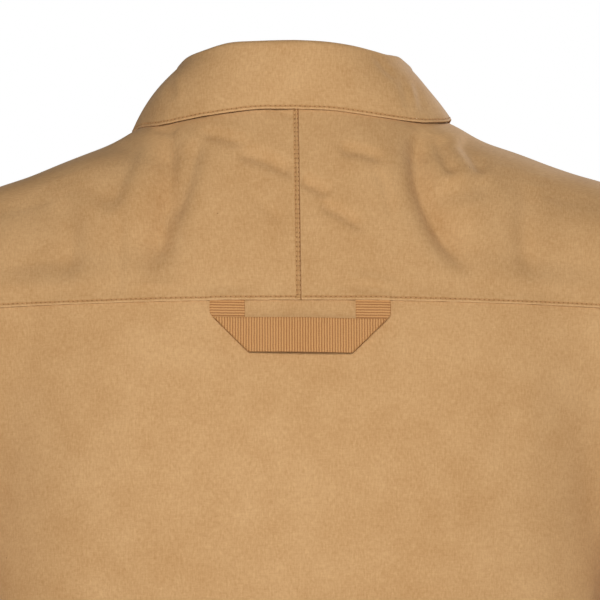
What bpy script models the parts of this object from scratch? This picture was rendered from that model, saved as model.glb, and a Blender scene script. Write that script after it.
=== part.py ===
"""A long-sleeved cotton shirt jacket, filled out as it is worn, with nobody in it.

Metres, +Z up. The front faces -Y, and the wearer's left is +X. The origin lies between the
shoulders, level with the places where the collar's edge meets the shoulder line.

Every panel is cut from one smooth form, a hollow torso blended into two arms. A panel is a grid
of points on that form between its seams, and its wall is made by moving those points inwards.
"""

import math
from types import SimpleNamespace

import bpy
import numpy as np

SEAM_GAP = 0.0004  # between two panels that are sewn together
LAY_GAP = 0.0003  # between a piece and the panel that it lies on
SHELL = 0.0012  # one ply of the cotton with its seam allowances
BAND = 0.0015  # the front band: two plies
STIFF = 0.0020  # collar, stand and cuffs: two plies and a fused interlining
TAPE = 0.0010  # ribbed tape of the hanger loop

HEM_HEIGHT = -0.720
YOKE_SEAM_HEIGHT = -0.103  # at the centre of the back
YOKE_SEAM_DROP = 0.0085  # how much lower it meets the armhole
FRONT_YOKE_REACH = 0.045  # the yoke ends this far in front of the shoulder line


def columns(names, *rows):
    """A short table as one object, with an array for each named column."""
    return SimpleNamespace(**dict(zip(names.split(), np.array(rows, float).T)))


def smooth(x, stations, values):
    """The values between a table's stations, on cubic pieces that share their slopes."""
    order = np.argsort(stations)
    at, value = stations[order], values[order]
    step = np.diff(at)
    rise = np.diff(value) / step
    slope = np.concatenate([
        rise[:1], (rise[:-1] * step[1:] + rise[1:] * step[:-1]) / (step[:-1] + step[1:]), rise[-1:]
    ])
    x = np.clip(x, at[0], at[-1])
    i = np.clip(np.searchsorted(at, x) - 1, 0, len(step) - 1)
    t = (x - at[i]) / step[i]
    return (
        (2 * t**3 - 3 * t**2 + 1) * value[i] + (t**3 - 2 * t**2 + t) * step[i] * slope[i]
        + (3 * t**2 - 2 * t**3) * value[i + 1] + (t**3 - t**2) * step[i] * slope[i + 1]
    )


def ease(t):
    """0 to 1 with level ends."""
    t = np.clip(t, 0, 1)
    return t * t * (3 - 2 * t)


def mix(a, b, share):
    return a + (b - a) * share


# The form --------------------------------------------------------------------------------

TORSO = columns(
    "height half_width back front squareness",
    (0.045, 0.0300, 0.0200, 0.0120, 2.10),
    (0.030, 0.0520, 0.0420, 0.0200, 2.10),
    (0.020, 0.0640, 0.0555, 0.0270, 2.15),
    (0.012, 0.0755, 0.0605, 0.0330, 2.20),
    (0.0025, 0.0955, 0.0655, 0.0405, 2.20),
    (-0.008, 0.1145, 0.0710, 0.0480, 2.20),
    (-0.0172, 0.1380, 0.0755, 0.0545, 2.20),
    (-0.0337, 0.1730, 0.0825, 0.0630, 2.20),
    (-0.055, 0.2000, 0.0905, 0.0715, 2.20),
    (-0.080, 0.2120, 0.0990, 0.0815, 2.25),
    (-0.103, 0.2130, 0.1060, 0.0910, 2.30),
    (-0.150, 0.2070, 0.1160, 0.1060, 2.40),
    (-0.200, 0.2020, 0.1220, 0.1170, 2.45),
    (-0.260, 0.2010, 0.1245, 0.1230, 2.50),
    (-0.330, 0.2050, 0.1230, 0.1240, 2.50),
    (-0.430, 0.2110, 0.1180, 0.1200, 2.45),
    (-0.560, 0.2160, 0.1170, 0.1170, 2.40),
    (-0.720, 0.2210, 0.1200, 0.1180, 2.40),
    (-0.800, 0.2230, 0.1210, 0.1180, 2.40),
)

SHOULDER_JOINT = np.array([0.192, 0.0, -0.113])
UPPER_ARM_TILT = math.radians(29)  # out from straight down
FOREARM_TILT = math.radians(19)
FOREARM_FORWARD = 0.15
ELBOW_FROM, ELBOW_LENGTH = 0.20, 0.18
SLEEVE_END = 0.548  # along the arm, from the shoulder joint
CUFF_LENGTH = 0.062
ARM = columns(
    "along radius",
    (0.00, 0.0660), (0.08, 0.0675), (0.20, 0.0645), (0.30, 0.0600), (0.42, 0.0540),
    (0.50, 0.0500), (0.53, 0.0475), (0.548, 0.0430), (0.62, 0.0415), (0.66, 0.0415),
)
ARM_STEPS = 25
BLEND = 0.035  # how far the armhole's hollow is rounded between torso and arm


def arm_axis():
    """Points along the middle of the arm: straight, then turned smoothly at the elbow."""
    along = np.linspace(0, ARM.along[-1], ARM_STEPS)
    upper = np.array([math.sin(UPPER_ARM_TILT), 0, -math.cos(UPPER_ARM_TILT)])
    lower = np.array([math.sin(FOREARM_TILT), -FOREARM_FORWARD, -math.cos(FOREARM_TILT)])
    lower /= np.linalg.norm(lower)
    heading = mix(upper, lower, ease((along - ELBOW_FROM) / ELBOW_LENGTH)[:, None])
    heading /= np.linalg.norm(heading, axis=1)[:, None]
    steps = (heading[1:] + heading[:-1]) / 2 * np.diff(along)[:, None]
    return along, SHOULDER_JOINT + np.vstack([np.zeros(3), np.cumsum(steps, axis=0)]), heading


ALONG, AXIS, HEADING = arm_axis()
AXIS_RADIUS = smooth(ALONG, ARM.along, ARM.radius)


def section_radius(p, z):
    """How far the torso's section at height z reaches from its middle, towards each point."""
    out = np.hypot(p[..., 0], p[..., 1]) + 1e-9
    side = smooth(z, TORSO.height, TORSO.half_width)
    depth = np.where(p[..., 1] > 0, smooth(z, TORSO.height, TORSO.back), smooth(z, TORSO.height, TORSO.front))
    power = smooth(z, TORSO.height, TORSO.squareness)
    share = (np.abs(p[..., 0]) / out / side) ** power + (np.abs(p[..., 1]) / out / depth) ** power
    return share ** (-1 / power)


def torso_distance(p, step=0.001):
    """Distance outside the torso: the level distance from its section, times the cosine of its slope."""
    z = p[..., 2]
    here, above, below = (section_radius(p, z + shift) for shift in (0, step, -step))
    return (np.hypot(p[..., 0], p[..., 1]) - here) / np.hypot(1, (above - below) / (2 * step))


def arm_distance(p):
    """Distance of points outside the nearer arm: a round tube along the axis, rounded at its top."""
    q = np.concatenate([np.abs(p[..., :1]), p[..., 1:]], -1)
    nearest = np.full(q.shape[:-1], 1e9)
    for a, b, ra, rb in zip(AXIS[:-1], AXIS[1:], AXIS_RADIUS[:-1], AXIS_RADIUS[1:]):
        share = np.clip(((q - a) @ (b - a)) / ((b - a) @ (b - a)), 0, 1)
        off = np.linalg.norm(q - a - share[..., None] * (b - a), axis=-1) - mix(ra, rb, share)
        nearest = np.minimum(nearest, off)
    return nearest


def form(p):
    """Distance outside torso and arms together, with the crease between them rounded."""
    torso, arm = torso_distance(p), arm_distance(p)
    near = np.maximum(BLEND - np.abs(torso - arm), 0) / BLEND
    return np.minimum(torso, arm) - near**2 * BLEND / 4


def slopes(p, step=0.0005):
    """How fast the form's distance changes along x, y and z."""
    return np.stack([(form(p + s) - form(p - s)) / (2 * step) for s in np.eye(3) * step], -1)


def outward(p):
    """The form's outward direction at points on or near it."""
    n = slopes(p)
    return n / np.linalg.norm(n, axis=-1, keepdims=True)


def onto_form(p, rounds=5):
    """Points near the form, moved straight onto it."""
    for _ in range(rounds):
        slope = slopes(p)
        p = p - form(p)[..., None] * slope / (slope**2).sum(-1, keepdims=True)
    return p


def first_out(place, near, strides=16, closings=4):
    """The distance at which place(distance) leaves the form, starting inside it at near.

    It strides out by the form's own distance, which stays short of the surface, then closes in
    with Newton's method.
    """
    reach = near + 0 * form(place(near))
    for _ in range(strides):
        reach = reach - form(place(reach))
    for _ in range(closings):
        now = form(place(reach))
        reach = reach - now * 0.0002 / (form(place(reach + 0.0002)) - now)
    return reach


def on_section(angle, height):
    """The torso's surface seen from its middle line. Angle 0 is the back, and half a turn the front."""
    angle, height = np.broadcast_arrays(np.asarray(angle, float), np.asarray(height, float))

    def place(r):
        r = np.broadcast_to(r, angle.shape)
        return np.stack([r * np.sin(angle), r * np.cos(angle), height], -1)

    return place(first_out(place, 0.005))


def on_side(x, height, side):
    """The surface straight in front of (side -1) or behind (side 1) a point of the middle plane."""
    x, height = np.broadcast_arrays(np.asarray(x, float), np.asarray(height, float))

    def place(r):
        return np.stack([x, side * np.broadcast_to(r, x.shape), height], -1)

    return place(first_out(place, 0.002))


# Folds -----------------------------------------------------------------------------------

FOLDS = columns(  # soft troughs: side (1 back, -1 front), two ends and a middle, width and depth
    "side x0 z0 xm zm x1 z1 width depth",
    (1, 0.086, -0.003, 0.070, -0.040, 0.088, -0.088, 0.0100, 0.0034),
    (1, -0.068, -0.006, -0.073, -0.042, -0.099, -0.086, 0.0095, 0.0034),
    (1, -0.092, -0.010, -0.099, -0.026, -0.112, -0.044, 0.0080, 0.0018),
    (1, 0.104, -0.008, 0.109, -0.024, 0.118, -0.044, 0.0080, 0.0018),
    (1, 0.196, -0.245, 0.160, -0.310, 0.105, -0.350, 0.0150, 0.0060),
    (1, -0.196, -0.250, -0.166, -0.325, -0.120, -0.372, 0.0150, 0.0060),
    (1, 0.125, -0.400, 0.134, -0.560, 0.128, -0.730, 0.0220, 0.0080),
    (1, -0.095, -0.430, -0.108, -0.590, -0.104, -0.730, 0.0240, 0.0080),
    (1, 0.020, -0.500, 0.014, -0.620, 0.018, -0.730, 0.0240, 0.0055),
    (-1, 0.190, -0.240, 0.148, -0.305, 0.090, -0.345, 0.0150, 0.0060),
    (-1, -0.190, -0.236, -0.154, -0.300, -0.102, -0.350, 0.0150, 0.0060),
    (-1, 0.138, -0.390, 0.146, -0.560, 0.140, -0.730, 0.0220, 0.0080),
    (-1, -0.122, -0.420, -0.132, -0.590, -0.128, -0.730, 0.0220, 0.0080),
    (-1, 0.108, -0.060, 0.118, -0.115, 0.102, -0.170, 0.0120, 0.0030),
    (-1, -0.108, -0.062, -0.120, -0.110, -0.106, -0.160, 0.0120, 0.0030),
)
FOLD_POINTS = 13
FOLD_ENDS = 0.16  # share of a trough's length over which it fades out


def trough_path(i, share):
    """A trough's middle line: the arc of a parabola through its three points."""
    a, m, b = ([getattr(FOLDS, k + e)[i] for k in "xz"] for e in "0m1")
    w = np.stack([(1 - share) * (1 - 2 * share), 4 * share * (1 - share), share * (2 * share - 1)], -1)
    return w @ np.array([a, m, b])


def trough_depth(p):
    """How far the torso's cloth is drawn in by the troughs."""
    depth = np.zeros(p.shape[:-1])
    share = np.linspace(0, 1, FOLD_POINTS)
    for i, side in enumerate(FOLDS.side):
        path = trough_path(i, share)
        off = np.full(depth.shape, 1e9)
        at = np.zeros(depth.shape)
        flat = p[..., [0, 2]]
        for k in range(FOLD_POINTS - 1):
            step = path[k + 1] - path[k]
            t = np.clip(((flat - path[k]) @ step) / (step @ step), 0, 1)
            d = np.linalg.norm(flat - path[k] - t[..., None] * step, axis=-1)
            at = np.where(d < off, share[k] + t / (FOLD_POINTS - 1), at)
            off = np.minimum(off, d)
        fade = ease(at / FOLD_ENDS) * ease((1 - at) / FOLD_ENDS + (at > 0.9) * (path[-1, 1] < HEM_HEIGHT))
        near_side = ease((side * p[..., 1]) / 0.03)
        depth += FOLDS.depth[i] * np.exp(-((off / FOLDS.width[i]) ** 2)) * fade * near_side
    return depth


def draped(p):
    """Points of the form with the troughs pressed in, and the outward direction there."""
    n = outward(p)
    return p - n * trough_depth(p)[..., None], n


# Cloth walls -----------------------------------------------------------------------------


def material(name, colour, roughness):
    made = bpy.data.materials.new(name)
    made.use_nodes = True
    shader = made.node_tree.nodes["Principled BSDF"]
    shader.inputs["Base Color"].default_value = (*colour, 1)
    shader.inputs["Roughness"].default_value = roughness
    shader.inputs["Metallic"].default_value = 0
    return made


COTTON = material("tan cotton", (0.56, 0.33, 0.15), 0.85)
RIBBED = material("ribbed tape", (0.50, 0.27, 0.11), 0.75)
BUTTON = material("tan resin", (0.33, 0.19, 0.09), 0.35)


def add_piece(name, points, faces, finish):
    mesh = bpy.data.meshes.new(name)
    mesh.from_pydata(points.reshape(-1, 3).tolist(), [], [list(f) for f in faces])
    mesh.validate()
    mesh.update()
    mesh.materials.append(finish)
    mesh.shade_smooth()
    mesh.set_sharp_from_angle(angle=math.radians(40))
    bpy.context.scene.collection.objects.link(bpy.data.objects.new(name, mesh))


def wall(name, outer, inner, finish=COTTON, ring=False, flip=False):
    """A closed wall between two grids of points. In a ring, the last column joins the first."""
    rows, cols = outer.shape[:2]
    index = np.arange(rows * cols).reshape(rows, cols)
    if ring:
        index = np.concatenate([index, index[:, :1]], axis=1)
    shift = rows * cols

    def strip(a, b):
        """Triangles between two lines of points, every quad cut on the same diagonal."""
        return np.concatenate([
            np.stack([a[:-1], a[1:], b[1:]], -1).reshape(-1, 3),
            np.stack([a[:-1], b[1:], b[:-1]], -1).reshape(-1, 3),
        ])

    sheet = strip(index[:-1].T, index[1:].T)
    rims = [strip(index[0] + shift, index[0]), strip(index[-1], index[-1] + shift)]
    if not ring:
        rims += [strip(index[:, 0], index[:, 0] + shift), strip(index[:, -1] + shift, index[:, -1])]
    faces = np.concatenate([sheet, sheet[:, ::-1] + shift, *rims])
    if flip:
        faces = faces[:, ::-1]
    points = np.concatenate([outer.reshape(-1, 3), inner.reshape(-1, 3)])
    add_piece(name, points, faces, finish)


def grid_outward(grid, ring=False):
    """Unit normals of a grid of points, from its neighbours along rows and columns."""
    wrapped = np.concatenate([grid[:, -1:], grid, grid[:, :1]], axis=1) if ring else grid
    down, across = np.gradient(wrapped, axis=0), np.gradient(wrapped, axis=1)
    n = np.cross(across, down)
    n /= np.linalg.norm(n, axis=-1, keepdims=True)
    return n[:, 1:-1] if ring else n


def mirrored(points):
    return points * np.array([-1.0, 1.0, 1.0])


# Seams -----------------------------------------------------------------------------------

ARMHOLE = columns(  # how far out the armhole seam lies, by height
    "height x",
    (-0.030, 0.236), (-0.055, 0.232), (-0.080, 0.225), (-0.110, 0.2175), (-0.150, 0.2105),
    (-0.200, 0.2065), (-0.250, 0.2075), (-0.300, 0.2120), (-0.350, 0.2170),
)
ARMHOLE_MIDDLE = -0.178
ARMHOLE_REACH = 0.09  # roughly, from that middle to the yoke's ends
HALF_TURN = math.pi


def armhole(turn, shift):
    """The armhole seam. Turn 0 is its top, a quarter turn the back and half a turn the armpit."""
    turn = np.asarray(turn, float)

    def place(r):
        z = ARMHOLE_MIDDLE + r * np.cos(turn)
        return np.stack([smooth(z, ARMHOLE.height, ARMHOLE.x) + shift, r * np.sin(turn) + 0 * z, z], -1)

    return place(first_out(place, 0.02))


def turn_where(measure, low, high, wanted):
    """The armhole's turn between low and high at which a measure of its point has the wanted value."""
    sign = 1 if measure(armhole(high, 0)) > measure(armhole(low, 0)) else -1
    for _ in range(30):
        middle = (low + high) / 2
        below = sign * (measure(armhole(middle, 0)) - wanted) < 0
        low, high = (middle, high) if below else (low, middle)
    return (low + high) / 2


def even_turns(start, end, count, crowd=1.0):
    """Turns that divide a stretch of the armhole into even lengths."""
    dense = np.linspace(start, end, 121)
    p = armhole(dense, 0)
    run = np.concatenate([[0], np.cumsum(np.linalg.norm(np.diff(p, axis=0), axis=1))])
    return np.interp(np.linspace(0, 1, count) ** crowd * run[-1], run, dense)


BACK_YOKE_TURN = turn_where(
    lambda p: p[2], 0.2, HALF_TURN / 2, YOKE_SEAM_HEIGHT - YOKE_SEAM_DROP
)
FRONT_YOKE_TURN = turn_where(lambda p: p[1], -HALF_TURN / 2, -0.05, -FRONT_YOKE_REACH)

COLLAR = columns(  # by the angle round the neck: 0 at the back, 180 at the front
    "angle neck_height top_height lean edge_angle edge_height",
    (0, 0.0200, 0.0496, 0.920, 0, 0.0109),
    (30, 0.0190, 0.0488, 0.920, 27, 0.0095),
    (45, 0.0180, 0.0474, 0.915, 44, 0.0062),
    (60, 0.0162, 0.0438, 0.905, 61, 0.0028),
    (90, 0.0120, 0.0371, 0.892, 89, 0.0028),
    (105, 0.0055, 0.0294, 0.885, 104, -0.0052),
    (120, -0.0040, 0.0185, 0.880, 117, -0.0205),
    (150, -0.0340, -0.0100, 0.900, 136, -0.0600),
    (180, -0.0550, -0.0290, 0.910, 150, -0.0880),
)


def folded(angle):
    """An angle round the neck, in degrees, brought to the 0 to 180 that the collar's table holds."""
    return np.degrees(np.abs((angle + math.pi) % (2 * math.pi) - math.pi))


def neck_seam(angle, drop=0.0):
    height = smooth(folded(angle), COLLAR.angle, COLLAR.neck_height)
    return on_section(angle, height - drop)


NECK_FRONT_REACH = 0.0715  # from the torso's middle line to the neck seam at the front
FRONT_YOKE_NECK = math.radians(128)  # where the front yoke seam meets the neck seam
YOKE_ROWS_NECK = 9  # rows that end on the neck seam
FRONT_ROWS_NECK = 5
YOKE_NECK_ANGLES = np.linspace(0, FRONT_YOKE_NECK, YOKE_ROWS_NECK + 1)
FRONT_NECK_ANGLES = np.linspace(
    math.pi - SEAM_GAP / 2 / NECK_FRONT_REACH, FRONT_YOKE_NECK + SEAM_GAP / NECK_FRONT_REACH,
    FRONT_ROWS_NECK + 1,
)
NECK_ANGLES = np.concatenate([YOKE_NECK_ANGLES, FRONT_NECK_ANGLES[::-1]])


def panels_edge(angle):
    """The neck edge that the panels make together: straight from each of their rows to the next."""
    corners = neck_seam(NECK_ANGLES)
    at = np.radians(folded(angle))
    p = np.stack([np.interp(at, NECK_ANGLES, corners[:, k]) for k in range(3)], -1)
    p[..., 0] *= np.sign(np.sin(angle))
    return p


def between(inner, outer, share, bend=1.0, turning=False):
    """Rows of points on the form from an inner to an outer seam.

    A row starts as a chord, or as a turn about the torso's middle line, and is then moved onto
    the form. The bend keeps a row level near its inner end.
    """
    a, b, s = inner[:, None], outer[:, None], share[None, :, None]
    p = mix(a, b, s)
    if turning:
        ends = np.unwrap(np.stack([np.arctan2(e[..., 0], e[..., 1]) for e in (a, b)]), axis=0)
        angle = mix(*ends, s[..., 0])
        reach = mix(np.hypot(a[..., 0], a[..., 1]), np.hypot(b[..., 0], b[..., 1]), s[..., 0])
        p = np.stack([reach * np.sin(angle), reach * np.cos(angle), p[..., 2]], -1)
    bend = np.broadcast_to(bend, (len(inner),))[:, None]
    p[..., 2] = mix(a[..., 2], b[..., 2], s[..., 0] ** bend)
    p = onto_form(p)
    p[:, 0], p[:, -1] = inner, outer
    return p


def cloth(name, grid, flip=False):
    """A panel: points of the form, draped, and the same points moved in by one ply of cloth."""
    outer, n = draped(grid)
    wall(name, outer, outer - n * SHELL, flip=flip)


COLUMNS = 17  # from the middle of the back or front to the side
CROWDING = 1.08  # columns lie closer together towards the middle
ACROSS = np.linspace(0, 1, COLUMNS) ** CROWDING


def yoke_seam(shift):
    """The seam of yoke and back on the +X side, a little above (shift > 0) or below its line."""
    end = armhole(BACK_YOKE_TURN, 0)
    x = end[0] * ACROSS
    x[-1] -= SEAM_GAP / 2
    x[0] = SEAM_GAP / 2 if shift > 0 else 0
    return on_side(x, YOKE_SEAM_HEIGHT - YOKE_SEAM_DROP * ACROSS**2 + shift, 1)


# Back --------------------------------------------------------------------------------------

BACK_ROWS_BELOW = 10  # hem to armpit
BACK_ROWS_ABOVE = 11  # armpit to yoke seam


def side_seam(heights, toward):
    """Points beside the side seam, half a seam gap towards the back (1) or the front (-1)."""
    angle = math.pi / 2 - toward * SEAM_GAP / 2 / TORSO.half_width.max()
    return on_section(angle, heights)


def back_panel():
    armpit = armhole(HALF_TURN, -SEAM_GAP / 2)[2]
    below = np.linspace(HEM_HEIGHT, armpit, BACK_ROWS_BELOW + 1)[:-1]
    outer_below = side_seam(below, 1)
    inner_below = on_side(np.zeros_like(below), below, 1)
    seam = yoke_seam(-SEAM_GAP / 2)
    outer_above = armhole(even_turns(HALF_TURN - 0.004, BACK_YOKE_TURN, BACK_ROWS_ABOVE + 1), -SEAM_GAP / 2)
    centre = mix(armpit, seam[0, 2], np.linspace(0, 1, BACK_ROWS_ABOVE + 1))
    inner_above = on_side(np.zeros_like(centre), centre, 1)
    half = between(
        np.concatenate([inner_below, inner_above]), np.concatenate([outer_below, outer_above]),
        ACROSS, bend=2.0, turning=True,
    )
    half[-1] = seam
    grid = np.concatenate([mirrored(half[:, :0:-1]), half], axis=1)
    cloth("back_panel", grid, flip=True)


# Yoke: two halves, sewn down the centre of the back ------------------------------------------

YOKE_ROWS_BACK = 8  # up the centre seam


def yoke_half():
    centre = np.linspace(YOKE_SEAM_HEIGHT + SEAM_GAP / 2, smooth(0, COLLAR.angle, COLLAR.neck_height),
                         YOKE_ROWS_BACK + 1)
    up_centre = on_side(np.full_like(centre, SEAM_GAP / 2), centre, 1)
    round_neck = neck_seam(YOKE_NECK_ANGLES[1:])
    inner = np.concatenate([up_centre, round_neck])
    count = len(inner)
    front_turn = FRONT_YOKE_TURN + SEAM_GAP / 2 / ARMHOLE_REACH
    outer = armhole(even_turns(BACK_YOKE_TURN, front_turn, count), -SEAM_GAP / 2)
    bend = 1 + ease(1 - np.linspace(0, 1, count) * 2)
    grid = between(inner, outer, ACROSS, bend=bend)
    grid[0] = yoke_seam(SEAM_GAP / 2)
    return grid


# Fronts --------------------------------------------------------------------------------------

FRONT_ROWS_BELOW = 10
FRONT_ROWS_ABOVE = 12
FRONT_ROWS_NECK = 5
BAND_LEFT, BAND_RIGHT = 0.018, -0.016
BAND_SHORT = 0.0015  # the band ends this far below the neck seam


def front_heights(top):
    """Heights of the rows that cross the front edge: hem to armpit, and armpit to neck."""
    armpit = armhole(HALF_TURN, 0)[2]
    return np.concatenate([
        np.linspace(HEM_HEIGHT, armpit, FRONT_ROWS_BELOW + 1)[:-1],
        np.linspace(armpit, top, FRONT_ROWS_ABOVE - FRONT_ROWS_NECK),
    ])


def front_half():
    """The front on the +X side, from the centre, where the two fronts meet under the band."""
    neck = neck_seam(FRONT_NECK_ANGLES)
    up_edge = front_heights(neck[0, 2])
    inner = np.concatenate([on_side(np.full_like(up_edge, SEAM_GAP / 2), up_edge, -1), neck[1:]])
    turns = even_turns(-HALF_TURN + 0.004, FRONT_YOKE_TURN - SEAM_GAP / 2 / ARMHOLE_REACH, FRONT_ROWS_ABOVE)
    outer = np.concatenate([side_seam(up_edge[:FRONT_ROWS_BELOW], -1), armhole(turns, -SEAM_GAP / 2)])
    level = FRONT_ROWS_BELOW + 3
    low = between(inner[:level], outer[:level], ACROSS, bend=2.0, turning=True)
    bend = 1 + ease(1 - np.linspace(0.2, 1, len(inner) - level))
    return np.concatenate([low, between(inner[level:], outer[level:], ACROSS, bend=bend)])


def band_faces():
    """The outer and inner face of the band down the front edge, over the join of the two fronts."""
    x = np.linspace(BAND_RIGHT, BAND_LEFT, 4)
    neck = neck_seam(math.pi - np.arcsin(x / NECK_FRONT_REACH))[:, 2]
    heights = front_heights(neck_seam(math.pi)[2])[:, None] + 0 * x
    heights[-1] = neck - BAND_SHORT
    base, n = draped(on_side(x + 0 * heights, heights, -1))
    return base + n * (BAND + LAY_GAP), base + n * LAY_GAP


def on_band(x, height):
    """The point of the band's outer face at x and height, and the direction that it faces."""
    outer = band_faces()[0]
    row = np.searchsorted(outer[:, 1, 2], height) - 1
    low, high = outer[row], outer[row + 1]
    line = mix(low, high, (height - low[1, 2]) / (high[1, 2] - low[1, 2]))
    face = np.cross(low[2] - low[1], high[1] - low[1])
    return np.array([np.interp(x, line[:, 0], line[:, k]) for k in range(3)]), face / np.linalg.norm(face)


# Sleeves -------------------------------------------------------------------------------------

SLEEVE_ROWS = 21
SLEEVE_COLUMNS = 22
SLEEVE_FOLDS = columns(  # slack: place along the arm, where round it, spread round it, width, depth
    "along round spread width depth",
    (0.130, 310, 45, 0.018, 0.0040),
    (0.215, 195, 60, 0.015, 0.0050),
    (0.262, 175, 70, 0.015, 0.0060),
    (0.310, 200, 65, 0.015, 0.0060),
    (0.352, 165, 60, 0.015, 0.0045),
    (0.430, 20, 80, 0.018, 0.0040),
    (0.475, 230, 80, 0.016, 0.0045),
    (0.512, 70, 90, 0.013, 0.0040),
)
SLACK_SLANT = 0.010  # a ring of slack slants by this much along the arm


def arm_frame(along):
    """A point of the arm's middle line, which runs on straight above the shoulder joint, and two
    directions square to it: outwards and backwards."""
    along = np.asarray(along, float)
    lead = np.minimum(along, 0)[..., None] * HEADING[0]
    place = np.stack([np.interp(along, ALONG, AXIS[:, k]) for k in range(3)], -1) + lead
    head = np.stack([np.interp(along, ALONG, HEADING[:, k]) for k in range(3)], -1)
    head /= np.linalg.norm(head, axis=-1, keepdims=True)
    side = np.cross(np.broadcast_to([0.0, 1.0, 0.0], head.shape), -head)
    side /= np.linalg.norm(side, axis=-1, keepdims=True)
    return place, side, np.cross(side, head) * -1, head


def on_arm(along, turn):
    """The sleeve's surface round the arm. Turn 0 faces out, a quarter turn the back."""
    place, side, back, _ = arm_frame(along)
    way = side * np.cos(turn)[..., None] + back * np.sin(turn)[..., None]

    def at(r):
        return place + np.broadcast_to(r, turn.shape)[..., None] * way

    return at(first_out(at, 0.004))


def arm_place(p):
    """Where points near the arm's upper half lie: along it, and round it."""
    head = HEADING[0]
    along = (p - SHOULDER_JOINT) @ head
    place, side, back, _ = arm_frame(along)
    return along, np.arctan2(((p - place) * back).sum(-1), ((p - place) * side).sum(-1))


def slack_depth(along, turn):
    """How far the sleeve is drawn in by its rings of slack."""
    depth = np.zeros(along.shape)
    for a, r, s, w, d in zip(*(getattr(SLEEVE_FOLDS, k) for k in "along round spread width depth".split())):
        off = np.degrees((turn - math.radians(r) + math.pi) % (2 * math.pi) - math.pi)
        slant = a + SLACK_SLANT * np.sin(np.radians(off))
        depth += d * np.exp(-(((along - slant) / w) ** 2) - (off / s) ** 2)
    return depth


def sleeve_grid():
    """Rows from the armhole seam to the cuff seam, and the outward direction at each point."""
    seam_turns = even_turns(0, 2 * math.pi, SLEEVE_COLUMNS + 1)[:-1]
    start, start_turn = arm_place(armhole(seam_turns, SEAM_GAP / 2))
    start_turn = np.unwrap(start_turn)
    end_turn = start_turn[0] + np.linspace(0, 2 * math.pi, SLEEVE_COLUMNS + 1)[:-1] * np.sign(
        start_turn[-1] - start_turn[0])
    share = np.linspace(0, 1, SLEEVE_ROWS)[:, None]
    along = mix(start, SLEEVE_END, share)
    turn = mix(start_turn, end_turn, ease(share * 1.4))
    p = on_arm(along, turn)
    p[0] = armhole(seam_turns, SEAM_GAP / 2)
    n = outward(p)
    return p - n * (slack_depth(along, turn) * ease(share * 6))[..., None], n


# Cuffs ---------------------------------------------------------------------------------------

CUFF_OPEN = math.radians(118)  # where the cuff's ends overlap: at the back of the wrist
CUFF_LAP = math.radians(32)
CUFF_STEPS = 31
CUFF_RADIUS = 0.0424


def cuff_grid(rows):
    """A band wound once round the wrist, its last stretch lifted over its first."""
    turn = CUFF_OPEN - np.linspace(0, 2 * math.pi + CUFF_LAP, CUFF_STEPS)
    lift = ease((CUFF_OPEN - turn - 2 * math.pi + 0.55) / 0.45) * (STIFF + LAY_GAP * 2)
    along = np.linspace(SLEEVE_END + SEAM_GAP, SLEEVE_END + CUFF_LENGTH, rows)[:, None]
    place, side, back, _ = arm_frame(along[:, 0])
    way = side[:, None] * np.cos(turn)[:, None] + back[:, None] * np.sin(turn)[:, None]
    taper = 1 - 0.02 * (along - SLEEVE_END) / CUFF_LENGTH
    return place[:, None] + way * ((CUFF_RADIUS * taper + lift)[..., None]), way


# Collar --------------------------------------------------------------------------------------

COLLAR_STEP = math.radians(8)
STAND_STEPS = 24  # each way from the back: the ends lap over each other at the front
LEAF_STEPS = 22
STAND_ROUNDING = 0.45  # how much lower the stand is at its rounded ends
STAND_RISE = 0.3  # the lifted end also rises off the neck seam, by this share of its lift
ROLL = 0.0035  # outer radius of the fold
FOLD_STEPS = 5
FALL_STEPS = 6
LEAF_BULGE = columns("angle bulge", (0, 0.0008), (60, 0.0014), (90, 0.0012), (130, 0.0015), (180, 0.0010))


def away_from_neck(angle):
    return np.stack([np.sin(angle), np.cos(angle), 0 * angle], -1)


def stand_point(angle, share):
    """The collar stand's outer face: share 0 at the neck seam, 1 at its top.

    The wearer's left end is lifted by a wall's thickness, to lie over the right one.
    """
    base = panels_edge(angle)
    seam = neck_seam(angle)
    lean = smooth(folded(angle), COLLAR.angle, COLLAR.lean)
    top = np.stack([
        seam[..., 0] * lean, seam[..., 1] * lean, smooth(folded(angle), COLLAR.angle, COLLAR.top_height)
    ], -1)
    lift = (ease((angle - math.radians(150)) / math.radians(20)) * (STIFF + LAY_GAP))[..., None]
    rise = (top - base) / np.linalg.norm(top - base, axis=-1, keepdims=True)
    return mix(base + rise * (SEAM_GAP + lift * STAND_RISE), top, share) + away_from_neck(angle) * lift


def collar_stand():
    steps = np.arange(-STAND_STEPS, STAND_STEPS + 1)
    past_leaf = (np.abs(steps) - LEAF_STEPS) / (STAND_STEPS - LEAF_STEPS)
    height = 1 - STAND_ROUNDING * np.maximum(past_leaf, 0) ** 2
    outer = np.stack([
        stand_point(steps * COLLAR_STEP, (s * height)[:, None]) for s in np.linspace(1, 0, 4)
    ])
    wall("collar_stand", outer, outer - grid_outward(outer) * STIFF)


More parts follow.
